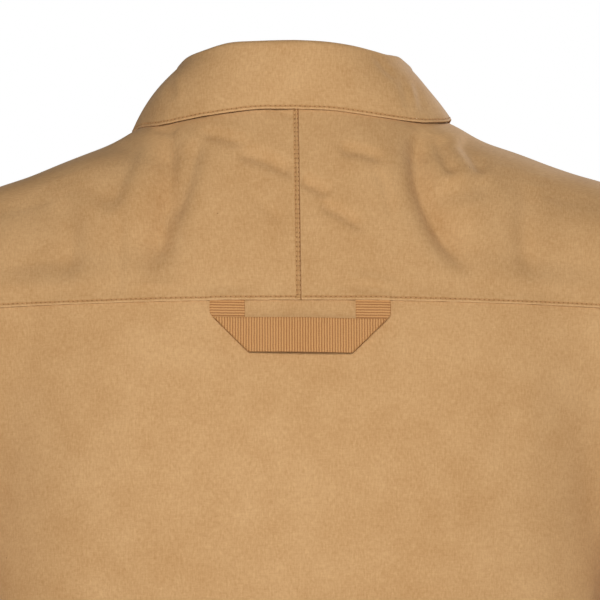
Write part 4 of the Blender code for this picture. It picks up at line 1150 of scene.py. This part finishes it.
def arm_frame(along):
    """A point of the arm's middle line, straight on above the shoulder joint, and three
    directions: outwards, backwards and along the arm."""
    along = np.asarray(along, float)
    lead = np.minimum(along, 0)[..., None] * HEADING[0]
    place = np.stack([np.interp(along, ALONG, AXIS[:, k]) for k in range(3)], -1) + lead
    head = np.stack([np.interp(along, ALONG, HEADING[:, k]) for k in range(3)], -1)
    head /= np.linalg.norm(head, axis=-1, keepdims=True)
    side = np.cross(np.broadcast_to([0.0, 1.0, 0.0], head.shape), -head)
    side /= np.linalg.norm(side, axis=-1, keepdims=True)
    return place, side, np.cross(head, side), head


def on_arm(along, turn):
    """The form round the arm. Turn 0 faces out, a quarter turn the back."""
    place, side, back, _ = arm_frame(along)
    way = side * np.cos(turn)[..., None] + back * np.sin(turn)[..., None]

    def at(r):
        return place + np.broadcast_to(r, turn.shape)[..., None] * way

    return at(first_out(at, 0.004))


def sleeve_net():
    """The sleeve's net, armhole to cuff, as x, y and z, and then the place along the arm and the
    cosine and sine of the turn round it."""
    start = armhole(SLEEVE_TURNS)
    first_along = (start - SHOULDER_JOINT) @ HEADING[0]
    place, side, back, _ = arm_frame(first_along)
    first_turn = np.unwrap(np.arctan2(((start - place) * back).sum(-1), ((start - place) * side).sum(-1)))
    way = np.sign(first_turn[-1] - first_turn[0])
    last_turn = first_turn[0] + way * np.linspace(0, 2 * math.pi, SLEEVE_COLUMNS + 1)[:-1]
    share = np.linspace(0, 1, SLEEVE_ROWS)[:, None]
    along = mix(first_along, SLEEVE_END, share)
    turn = mix(first_turn, last_turn, ease(share * EVEN_SOON))
    p = on_arm(along, turn)
    p[0] = start
    return np.concatenate([p, np.stack([along, np.cos(turn), np.sin(turn)], -1)], -1)


def slack_table(*rows):
    """Folds round a sleeve: place along the arm, turn and spread round it in degrees, width, depth
    and slant, the lengths in millimetres."""
    return columns("along round spread width depth slant", *rows, mm="along width depth slant")


SLEEVE_FOLDS = slack_table(
    (130, 310, 45, 18, 4, 10), (215, 195, 60, 15, 5, 10), (262, 175, 70, 15, 6, 10),
    (310, 200, 65, 15, 6, 10), (352, 165, 60, 15, 4.5, 10), (430, 20, 80, 18, 4, 10),
    (475, 230, 80, 16, 4.5, 10), (512, 70, 90, 13, 4, 10),
)
LEFT_CREASES = slack_table(
    (60, 205, 40, 10, 2.2, 22), (95, 225, 36, 9, 1.8, -26), (238, 205, 34, 6, 2, 16),
    (287, 182, 38, 6, 2.4, -12), (331, 215, 30, 6, 1.8, 14), (392, 185, 46, 8, 1.8, 18),
    (455, 120, 42, 7, 1.6, -14), (497, 340, 48, 7, 1.8, 10), (528, 200, 60, 6, 1.6, 6),
)
RIGHT_CREASES = slack_table(
    (52, 215, 46, 11, 2.4, -20), (110, 195, 34, 8, 1.6, 24), (226, 175, 36, 7, 2.2, -14),
    (276, 222, 32, 6, 2, 14), (322, 178, 42, 6, 2.4, 10), (372, 150, 40, 8, 1.8, -18),
    (441, 250, 44, 8, 1.8, 14), (489, 40, 50, 7, 1.6, -12), (531, 260, 56, 6, 1.8, -6),
)
PLEATS = columns("round width depth", (62, 4.2, 3), (96, 4, 3.2), (252, 4.5, 1.8), mm="width depth")
PLEAT_LENGTH, PLEAT_END = 0.055, 0.006  # how far up they run, and where they are whole


def turned_off(turn, degrees):
    """How far a turn is off an angle in degrees, from half a turn back to half a turn on."""
    return (turn - math.radians(degrees) + math.pi) % (2 * math.pi) - math.pi


def slack_depth(along, turn, folds):
    """How far the sleeve is drawn in: each fold's depth times bell curves of the distance along
    the arm, which slants with the turn, and of the turn itself."""
    depth = np.zeros(along.shape)
    for a, r, spread, width, deep, slant in rows_of(folds):
        off = np.degrees(turned_off(turn, r))
        middle = a + slant * np.sin(np.radians(off))
        depth += deep * np.exp(-(((along - middle) / width) ** 2) - (off / spread) ** 2)
    return depth


def pleat_depth(along, turn):
    """Pleats that run up from the cuff: bell curves round the arm, fading along it and, quickly,
    where they are sewn in."""
    depth = np.zeros(along.shape)
    for r, width, deep in rows_of(PLEATS):
        off = turned_off(turn, r) * ARM.radius[-1]
        depth += deep * np.exp(-((off / width) ** 2)) * ease(1 - (SLEEVE_END - along) / PLEAT_LENGTH)
    return depth * ease((SLEEVE_END - along) / PLEAT_END)


SLEEVE_NET = sleeve_net()
ARMHOLE_TUCK = edge(tuck=0.0040, sink=0.0004, pucker=0.0005)
CUFF_TUCK = edge(tuck=0.0050, sink=0.0027, pucker=0.0003)
for (side, name), creases in zip(SIDES, (LEFT_CREASES, RIGHT_CREASES)):
    net = SLEEVE_NET * np.array([side, 1, 1, 1, 1, 1])

    def drawn_in(sheet, more):
        along, turn = more[..., 0], np.arctan2(more[..., 2], more[..., 1])
        deep = slack_depth(along, turn, SLEEVE_FOLDS) + slack_depth(along, turn, creases)
        return deep * ease((along - SLEEVE_NET[0, 0, 3]) / HEAD_FADE) + pleat_depth(along, turn)

    sleeve, threads = piece_of_cloth(
        "sleeve_" + name, net, (ARMHOLE_TUCK, CUFF_TUCK), 0.0037, creases=(FOLDS,), ring=True,
        drawn=drawn_in,
    )
    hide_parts(f"sleeve_{name}")

# Cuffs ---------------------------------------------------
# A doubled band of cotton with an interlining, wound once round the wrist and buttoned where its
# ends lap. It is stitched close to all its edges.

STIFF = 0.0020
CUFF_OPEN = math.radians(118)  # where the cuff's ends overlap: at the back of the wrist
CUFF_LAP = math.radians(32)
CUFF_RADIUS = 0.0424
CUFF_ROWS, CUFF_STEPS = 9, 62
CUFF_RISE, CUFF_RISING = 0.55, 0.45  # where its end starts to rise over its start, and how slowly


def cuff_net():
    """The cuff's net: a band wound round the arm, its last stretch lifted over its first."""
    turn = CUFF_OPEN - np.linspace(0, 2 * math.pi + CUFF_LAP, CUFF_STEPS)
    lift = ease((CUFF_OPEN - turn - 2 * math.pi + CUFF_RISE) / CUFF_RISING) * (STIFF + LAY_GAP * 2)
    along = np.linspace(SLEEVE_END - 0.0008, SLEEVE_END + CUFF_LENGTH, CUFF_ROWS)[:, None]
    place, side, back, _ = arm_frame(along[:, 0])
    way = side[:, None] * np.cos(turn)[:, None] + back[:, None] * np.sin(turn)[:, None]
    taper = 1 - 0.02 * (along - SLEEVE_END) / CUFF_LENGTH
    return place[:, None] + way * ((CUFF_RADIUS * taper + lift)[..., None])


CUFF_EDGE = edge(rows=(0.0022,), pucker=0.00025, trim=(0.0022, 0.0022))
for side, name in SIDES:
    net = cuff_net() * np.array([side, 1, 1])
    cuff, threads = piece_of_cloth(
        "cuff_" + name, net, (CUFF_EDGE,) * 4, 0.0026, thickness=STIFF,
        drawn=lambda sheet, more: 0.0004 * waves(sheet, 11 + side, 0.05, 0.012),
    )
    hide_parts(f"cuff_{name}")

# Front band ----------------------------------------------
# A doubled strip down the join of the two fronts, stitched along both its edges, with the
# buttonholes. The buttons show through it.

BAND = 0.0015
FRONT_NECK_REACH = 0.0715  # from the torso's middle line to the neck seam at the front
BAND_SHORT = 0.0015  # the band ends this far below the neck seam
BAND_OFF = 0.0006  # it lies this much farther out than the cloth's wall asks


def band_net():
    """The band's net, hem to neck, over the middle of the fronts."""
    x = np.linspace(BAND_RIGHT, BAND_LEFT, 9)
    neck = neck_seam(math.pi - np.arcsin(x / FRONT_NECK_REACH))[:, 2]
    heights = mix(HEM_HEIGHT, neck - BAND_SHORT, np.linspace(0, 1, 60)[:, None])
    return on_side(x + 0 * heights, heights, -1)


BAND_EDGE = edge(rows=(0.0060,), pucker=0.00035)
BAND_HEM = edge(rows=(0.0145,), pucker=0.0002)
band, threads = piece_of_cloth(
    "front_band", band_net(), (BAND_HEM, PLAIN, BAND_EDGE, BAND_EDGE), 0.0026, thickness=BAND,
    creases=(FOLDS, FRONT_CREASES), drawn=lambda sheet, more: -LAY_GAP - BAND - BAND_OFF,
)
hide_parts("front_band")

# Collar stand --------------------------------------------
# A stiff doubled band that stands up from the neck seam. Its ends lap at the front and are
# buttoned there.

COLLAR_STEP = math.radians(8)
STAND_STEPS = 24  # each way from the back: the ends lap over each other at the front
LEAF_STEPS = 22
STAND_ROUNDING = 0.45  # how much lower the stand is at its rounded ends
STAND_RISE = 0.3  # the lifted end also rises off the neck seam, by this share of its lift
STAND_LAP, STAND_LAPPING = math.radians(150), math.radians(20)  # where it is lifted, and how slowly
SEAM_GAP = 0.0004


UP = np.array([0.0, 0.0, 1.0])


def away_from_neck(angle):
    return np.stack([np.sin(angle), np.cos(angle), 0 * angle], -1)


def bells(angle, table):
    """The sum of a table's bell curves of the angle."""
    return sum(d * np.exp(-(((np.degrees(angle) - a) / s) ** 2)) for a, s, d in rows_of(table))


SLUMP = columns("angle spread drop", (-50, 20, 0.0018), (75, 14, 0.0004))  # its top isn't quite even


def stand_point(angle, share):
    """The stand's outer face: share 0 at the neck seam, 1 at its top. The wearer's left end is
    lifted by a wall's thickness, to lie over the right one."""
    seam = neck_seam(angle)
    lean = smooth(folded(angle), COLLAR.angle, COLLAR.lean)
    height = smooth(folded(angle), COLLAR.angle, COLLAR.top_height) - bells(angle, SLUMP)
    top = np.stack([seam[..., 0] * lean, seam[..., 1] * lean, height], -1)
    lift = (ease((angle - STAND_LAP) / STAND_LAPPING) * (STIFF + LAY_GAP))[..., None]
    rise = (top - seam) / np.linalg.norm(top - seam, axis=-1, keepdims=True)
    foot = seam + rise * (SEAM_GAP + lift * STAND_RISE)
    return mix(foot, top, share) + away_from_neck(angle) * lift


def stand_net():
    steps = np.linspace(-STAND_STEPS, STAND_STEPS, 2 * 48 + 1)
    past_leaf = (np.abs(steps) - LEAF_STEPS) / (STAND_STEPS - LEAF_STEPS)
    height = 1 - STAND_ROUNDING * np.maximum(past_leaf, 0) ** 2
    return np.stack([stand_point(steps * COLLAR_STEP, (s * height)[:, None]) for s in np.linspace(1, 0, 8)])


STAND_EDGE = edge(rows=(0.0020,), pucker=0.0002, trim=(0.002, 0.002))
stand, threads = piece_of_cloth(
    "collar_stand", stand_net(), (PLAIN, *[STAND_EDGE] * 3), 0.0024, thickness=STIFF,
    drawn=lambda sheet, more: 0.0003 * waves(sheet, 21, 0.05, 0.015),
)
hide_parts("collar_stand")

# Collar leaf ---------------------------------------------
# The part of the collar that shows: doubled cotton, folded over the top of the stand and turned
# down, with a row of stitches close to its edge.

LEAF = 0.0014  # its thickness
ROLL = 0.0035  # outer radius of the fold
EDGE_SAG = columns(  # how much lower its edge hangs than even
    "angle spread drop", (92, 22, 0.0036), (-80, 10, 0.0022), (-104, 12, -0.0018))
GAPE, GAPE_AT, GAPE_SPREAD = 0.0003, -0.055, 0.022  # its edge stands off behind the right shoulder
LEAF_BULGE = columns("angle bulge", (0, 0.0008), (60, 0.0014), (90, 0.0012), (130, 0.0015), (180, 0.0010))
LEFT_BULGE = columns("angle spread bulge", (85, 24, 0.0027))  # more at the wearer's left shoulder
FOLD_STEPS, FALL_STEPS = 9, 16


def leaf_net():
    """The leaf's net: up from the stand's top, half round the fold and down to its edge."""
    angle = np.linspace(-LEAF_STEPS, LEAF_STEPS, 2 * 44 + 1) * COLLAR_STEP
    top = stand_point(angle, 1.0)
    away = away_from_neck(angle)
    edge_angle = np.radians(smooth(folded(angle), COLLAR.angle, COLLAR.edge_angle)) * np.sign(angle)
    sag = bells(angle, EDGE_SAG)
    lower = on_section(edge_angle, smooth(folded(angle), COLLAR.angle, COLLAR.edge_height) - sag)
    gape = GAPE * np.exp(-(((lower[:, :1] - GAPE_AT) / GAPE_SPREAD) ** 2)) * (lower[:, 1:2] > 0)
    lower = lower + outward(lower) * (LAY_GAP + LEAF + gape - shoulder_drop(lower)[:, None])
    middle = top + away * (ROLL - STIFF) + UP * SEAM_GAP  # of the fold
    fold = np.stack([away * math.cos(t) + UP * math.sin(t) for t in np.linspace(math.pi, 0, FOLD_STEPS)])
    start = middle + ROLL * away
    bulge = smooth(folded(angle), LEAF_BULGE.angle, LEAF_BULGE.bulge)
    bulge = (bulge + bells(angle, LEFT_BULGE))[:, None]
    fall = np.stack([
        mix(start, lower, t) + (away + UP) / math.sqrt(2) * bulge * 4 * t * (1 - t)
        for t in np.linspace(0, 1, FALL_STEPS)
    ])
    return np.concatenate([middle + ROLL * fold, fall[1:]])


LEAF_CREASES = fold_table(
    (1, -50, 46, -55.2, 37.8, -64, 30, 2.6, 1.2),
    (1, -64, 34, -68, 22.8, -70, 11, 3, 1.1),
    (1, -74.4, 31, -76.8, 20, -80, 8, 3, 1.1),
    (1, -70, 30, -72.4, 20, -74.4, 10, 2.8, -0.7),
    (1, 79, 34, 77.2, 25, 74, 18, 2.8, 0.7),
    (1, 72, 36, 71.2, 26, 69, 16, 2.8, -0.7),
    (-1, 70, 20, 64, 6, 66, -10, 4, 0.8),
    (-1, -68, 18, -63, 4, -66, -10, 4, 0.8),
)
LEAF_EDGE = edge(rows=(0.0018,), pucker=0.00022, trim=(0.0018, 0.0018))
leaf, threads = piece_of_cloth(
    "collar_leaf", leaf_net(), (PLAIN, *[LEAF_EDGE] * 3), 0.0020, thickness=LEAF,
    creases=(LEAF_CREASES,), drawn=lambda sheet, more: 0.0003 * waves(sheet, 31, 0.06, 0.02),
)
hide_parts("collar_leaf")

# Buttons -------------------------------------------------
# Turned resin buttons with four holes: six on the band and one on the collar stand and on each
# cuff, every one sewn on with crossed thread and in a stitched buttonhole that shows past its rim.

BUTTON_PROFILE = columns(  # from the middle of the back, over the rim, to the middle of the dished face
    "radius height",
    (0, 0), (3.6, 0), (5, 0.3), (5.6, 1), (5.7, 1.6), (5.5, 2.3), (5, 2.7),
    (4.5, 2.7), (4, 2.3), (3.6, 1.9), (3.3, 1.8), (2.8, 1.8), (2.4, 1.8), (2, 1.8),
    (1.6, 1.8), (1.2, 1.8), (0.8, 1.8), (0.4, 1.8), (0, 1.8),
    mm="radius height",
)
BUTTON_SIDES = 48
PIT, PIT_OUT, PIT_DEPTH = 0.00062, 0.00122, 0.0010  # the holes' radius, place and depth
HOLE_LENGTH, BAR, BAR_PITCH, BAR_THREAD = 0.0142, 0.0016, 0.00045, 0.00020  # buttonhole, its stitches
FIRST_BUTTON, BUTTON_STEP, BUTTONS = -0.112, 0.096, 6
SEAT_X, COLLAR_SEAT = 0.001, 0.006  # how far off the middle the buttons are, and the collar's, round
THREAD_HEIGHTS = 0.0019, 0.0021  # of a button's two crossed threads
SLOT = 0.0002  # half a buttonhole's width
TACK, TACK_HEIGHT = (0.0, 0.0003, 0.0006), 0.0001  # threads at its ends
BUTTON_ROW, BUTTON_STATION = 4, 57  # the place of the cuff's button on its net
FACE_RING = 9  # of the profile: where the dished face starts


def resin():
    """Mottled brown resin, cloudy in long soft streaks."""
    made, tree, shader = new_finish("brown resin")
    colour = shader_node(
        tree, "Group", shader_node(tree, "TexCoord")[3], (240, 240, 90), 0.5, 2.2,
        (0.170, 0.085, 0.036, 1), (0.420, 0.255, 0.125, 1), node_tree=UNEVEN_COLOUR)
    tree.links.new(colour[0], shader["Base Color"])
    shader["Roughness"].default_value = 0.34
    shader["Coat Weight"].default_value = 0.25
    return made


def set_out(place, ways, points):
    """Points given along a button's three ways (across, up and out), from its place."""
    return place + points @ ways


RESIN = resin()


def button_piece(name, place, ways):
    """A turned button: its profile as rings of points, the four holes pressed into its face."""
    turn = np.arange(BUTTON_SIDES) / BUTTON_SIDES * 2 * math.pi
    radius = BUTTON_PROFILE.radius[1:-1, None]
    x, y = radius * np.cos(turn), radius * np.sin(turn)
    pits = np.min([np.hypot(x - a * PIT_OUT, y - b * PIT_OUT) for a in (-1, 1) for b in (-1, 1)], axis=0)
    face = np.arange(len(radius))[:, None] >= FACE_RING
    z = BUTTON_PROFILE.height[1:-1, None] - PIT_DEPTH * ease((PIT * 1.25 - pits) / (PIT * 0.5)) * face
    ends = np.array([[0, 0, BUTTON_PROFILE.height[0]], [0, 0, BUTTON_PROFILE.height[-1]]])
    points = np.concatenate([np.stack([x, y, z], -1).reshape(-1, 3), ends])
    index = round_again(np.arange(x.size).reshape(x.shape))
    faces = quads(index)[:, ::-1].tolist()
    faces += [(a, b, x.size) for a, b in zip(index[0, 1:], index[0, :-1])]
    faces += [(a, b, x.size + 1) for a, b in zip(index[-1, :-1], index[-1, 1:])]
    return piece_of(name, set_out(place, ways, points), faces, RESIN, "button")


def button_ways(out, up):
    """Three directions at a button: across, up along the cloth, and out of it."""
    out = out / np.linalg.norm(out)
    across = np.cross(up, out)
    across /= np.linalg.norm(across)
    return np.stack([across, np.cross(out, across), out])


def sewn_bars(place, ways, level):
    """The stitches of a button and its buttonhole: two crossed threads, bars side by side round
    the slot, which runs up, and a bar tack at each of its ends."""
    holes = np.array([[-1, -1], [1, 1], [-1, 1], [1, -1]]) * PIT_OUT
    flat = [(*holes[2 * k : 2 * k + 2], THREAD_HEIGHTS[k] + level) for k in range(2)]
    for step in np.arange(-HOLE_LENGTH / 2, HOLE_LENGTH / 2, BAR_PITCH):
        flat += [((side * SLOT, step), (side * BAR, step), 0.0) for side in (-1, 1)]
    for end in (-1, 1):
        flat += [((-BAR, end * (HOLE_LENGTH / 2 + d)), (BAR, end * (HOLE_LENGTH / 2 + d)), TACK_HEIGHT)
                 for d in TACK]
    up = np.stack([ways[2], ways[2]])
    return [(set_out(place, ways, np.array([[*a, high], [*b, high]])), up) for a, b, high in flat]


heights = FIRST_BUTTON - BUTTON_STEP * np.arange(BUTTONS)
seats = on_side(SEAT_X + 0 * heights, heights, -1)
outs = outward(seats)
pressed = fold_depth(seats, FOLDS) + fold_depth(seats, FRONT_CREASES)
seats = seats + outs * (LAY_GAP + BAND + BAND_OFF - pressed)[:, None]
placed = [(f"front_button_{n + 1}", seats[n], button_ways(outs[n], UP)) for n in range(BUTTONS)]
collar_at = stand_point(np.array([math.pi - COLLAR_SEAT]), np.array([[0.5]]))[0]
across = np.array([1.0, 0.0, 0.0])
placed.append(("collar_button", collar_at, button_ways(away_from_neck(np.array([math.pi]))[0], across)))
cuff_at = cuff_net()
for side, name in SIDES:
    middle = cuff_at[BUTTON_ROW, BUTTON_STATION]
    run = cuff_at[BUTTON_ROW, BUTTON_STATION + 1] - middle
    along = cuff_at[BUTTON_ROW + 1, BUTTON_STATION] - middle
    out = np.cross(run, along)
    out *= np.sign(out @ (middle - arm_frame(SLEEVE_END + CUFF_LENGTH / 2)[0]))
    way = np.array([side, 1, 1])
    placed.append((f"cuff_button_{name}", middle * way, button_ways(out * way, run * way)))

bars = []
for name, place, ways in placed:
    button = button_piece(name + "_turned", place + LAY_GAP * ways[2], ways)
    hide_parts(name)
    bars += sewn_bars(place, ways, LAY_GAP)
stitched("buttonhole_stitches", bars, half=BAR_THREAD)

# Camera, light and floor ---------------------------------
# A long lens straight behind the jacket, a large soft light just above it, one in front of the
# jacket, a weak low one at each side, a dim white surround, and a pale floor below.

VIEW_WIDTH = 0.36
VIEW_FROM = 3.0
AZIMUTH, ELEVATION = math.radians(180.7), math.radians(2.0)
LOOK_AT = Vector((-0.0024, 0.110, -0.103))


def seen_from(angle, height):
    """The direction to a viewer at an azimuth and a height above the level, in radians."""
    level = math.cos(height)
    return Vector((-math.sin(angle) * level, -math.cos(angle) * level, math.sin(height)))


camera = linked("camera", bpy.data.cameras.new("camera"))
camera.location = LOOK_AT + seen_from(AZIMUTH, ELEVATION) * VIEW_FROM
camera.rotation_euler = (-seen_from(AZIMUTH, ELEVATION)).to_track_quat("-Z", "Y").to_euler()
camera.data.sensor_width = 36
camera.data.lens = 36 * VIEW_FROM / VIEW_WIDTH
bpy.context.scene.camera = camera

LIT_FROM = Vector((0.0, 0.0, -0.2))  # the point that the lights face
LIGHTS = columns(  # azimuth and height in degrees, distance, size and power
    "azimuth height away size power",
    (183, 20, 2.8, 0.8, 54.5), (38, 24, 3.0, 1.2, 62), (246, -6, 2.4, 1.4, 7), (116, -8, 2.4, 1.4, 9),
)
for number, (azimuth, height, far, size, power) in enumerate(rows_of(LIGHTS)):
    lamp = linked(f"light_{number}", bpy.data.lights.new(f"light_{number}", "AREA"))
    way = seen_from(math.radians(azimuth), math.radians(height))
    lamp.data.size = size
    lamp.data.energy = power
    lamp.location = LIT_FROM + way * far
    lamp.rotation_euler = (-way).to_track_quat("-Z", "Y").to_euler()

SURROUND = 0.07  # how bright it is to all but the camera
world = bpy.data.worlds.new("studio")
world.use_nodes = True
nodes, links = world.node_tree.nodes, world.node_tree.links
dim, white, chosen = nodes["Background"], nodes.new("ShaderNodeBackground"), nodes.new("ShaderNodeMixShader")
dim.inputs[0].default_value = (1, 1, 1, 1)
dim.inputs[1].default_value = SURROUND
white.inputs[0].default_value = (1, 1, 1, 1)
links.new(nodes.new("ShaderNodeLightPath").outputs["Is Camera Ray"], chosen.inputs[0])
links.new(dim.outputs[0], chosen.inputs[1])
links.new(white.outputs[0], chosen.inputs[2])
links.new(chosen.outputs[0], nodes["World Output"].inputs[0])
bpy.context.scene.world = world
bpy.context.scene.view_settings.view_transform = "Standard"

FLOOR, FLOOR_HEIGHT = 3.0, -0.80
FLOOR_NEAR = 1.0  # it is plain up to here, and turns to the surround's white at its edge
GLOW_SEEN, GLOW_ALWAYS = 0.30, 0.20  # its glow to the camera there, and to all else
corners = [(x * FLOOR, y * FLOOR, FLOOR_HEIGHT) for x, y in ((-1, -1), (1, -1), (1, 1), (-1, 1))]
floor_mesh = bpy.data.meshes.new("floor")
floor_mesh.from_pydata(corners, [], [(0, 1, 2, 3)])
pale, tree, shader = new_finish("pale floor")
away = shader_node(tree, "VectorMath", shader_node(tree, "TexCoord")[3], operation="LENGTH")[1]
far = between_limits(tree, away, FLOOR_NEAR, FLOOR)
tree.links.new(blend(tree, far, (0.60, 0.60, 0.60, 1), (0.0, 0.0, 0.0, 1)), shader["Base Color"])
shader["Roughness"].default_value = 1.0
shader["Specular IOR Level"].default_value = 0.0
shader["Emission Color"].default_value = (1.0, 1.0, 1.0, 1)
seen = shader_node(tree, "LightPath")[0]
glow = maths(tree, "MULTIPLY", seen, between_limits(tree, away, FLOOR_NEAR, FLOOR, GLOW_SEEN, 1.0))
tree.links.new(maths(tree, "MAXIMUM", glow, GLOW_ALWAYS), shader["Emission Strength"])
floor_mesh.materials.append(pale)
linked("floor", floor_mesh)
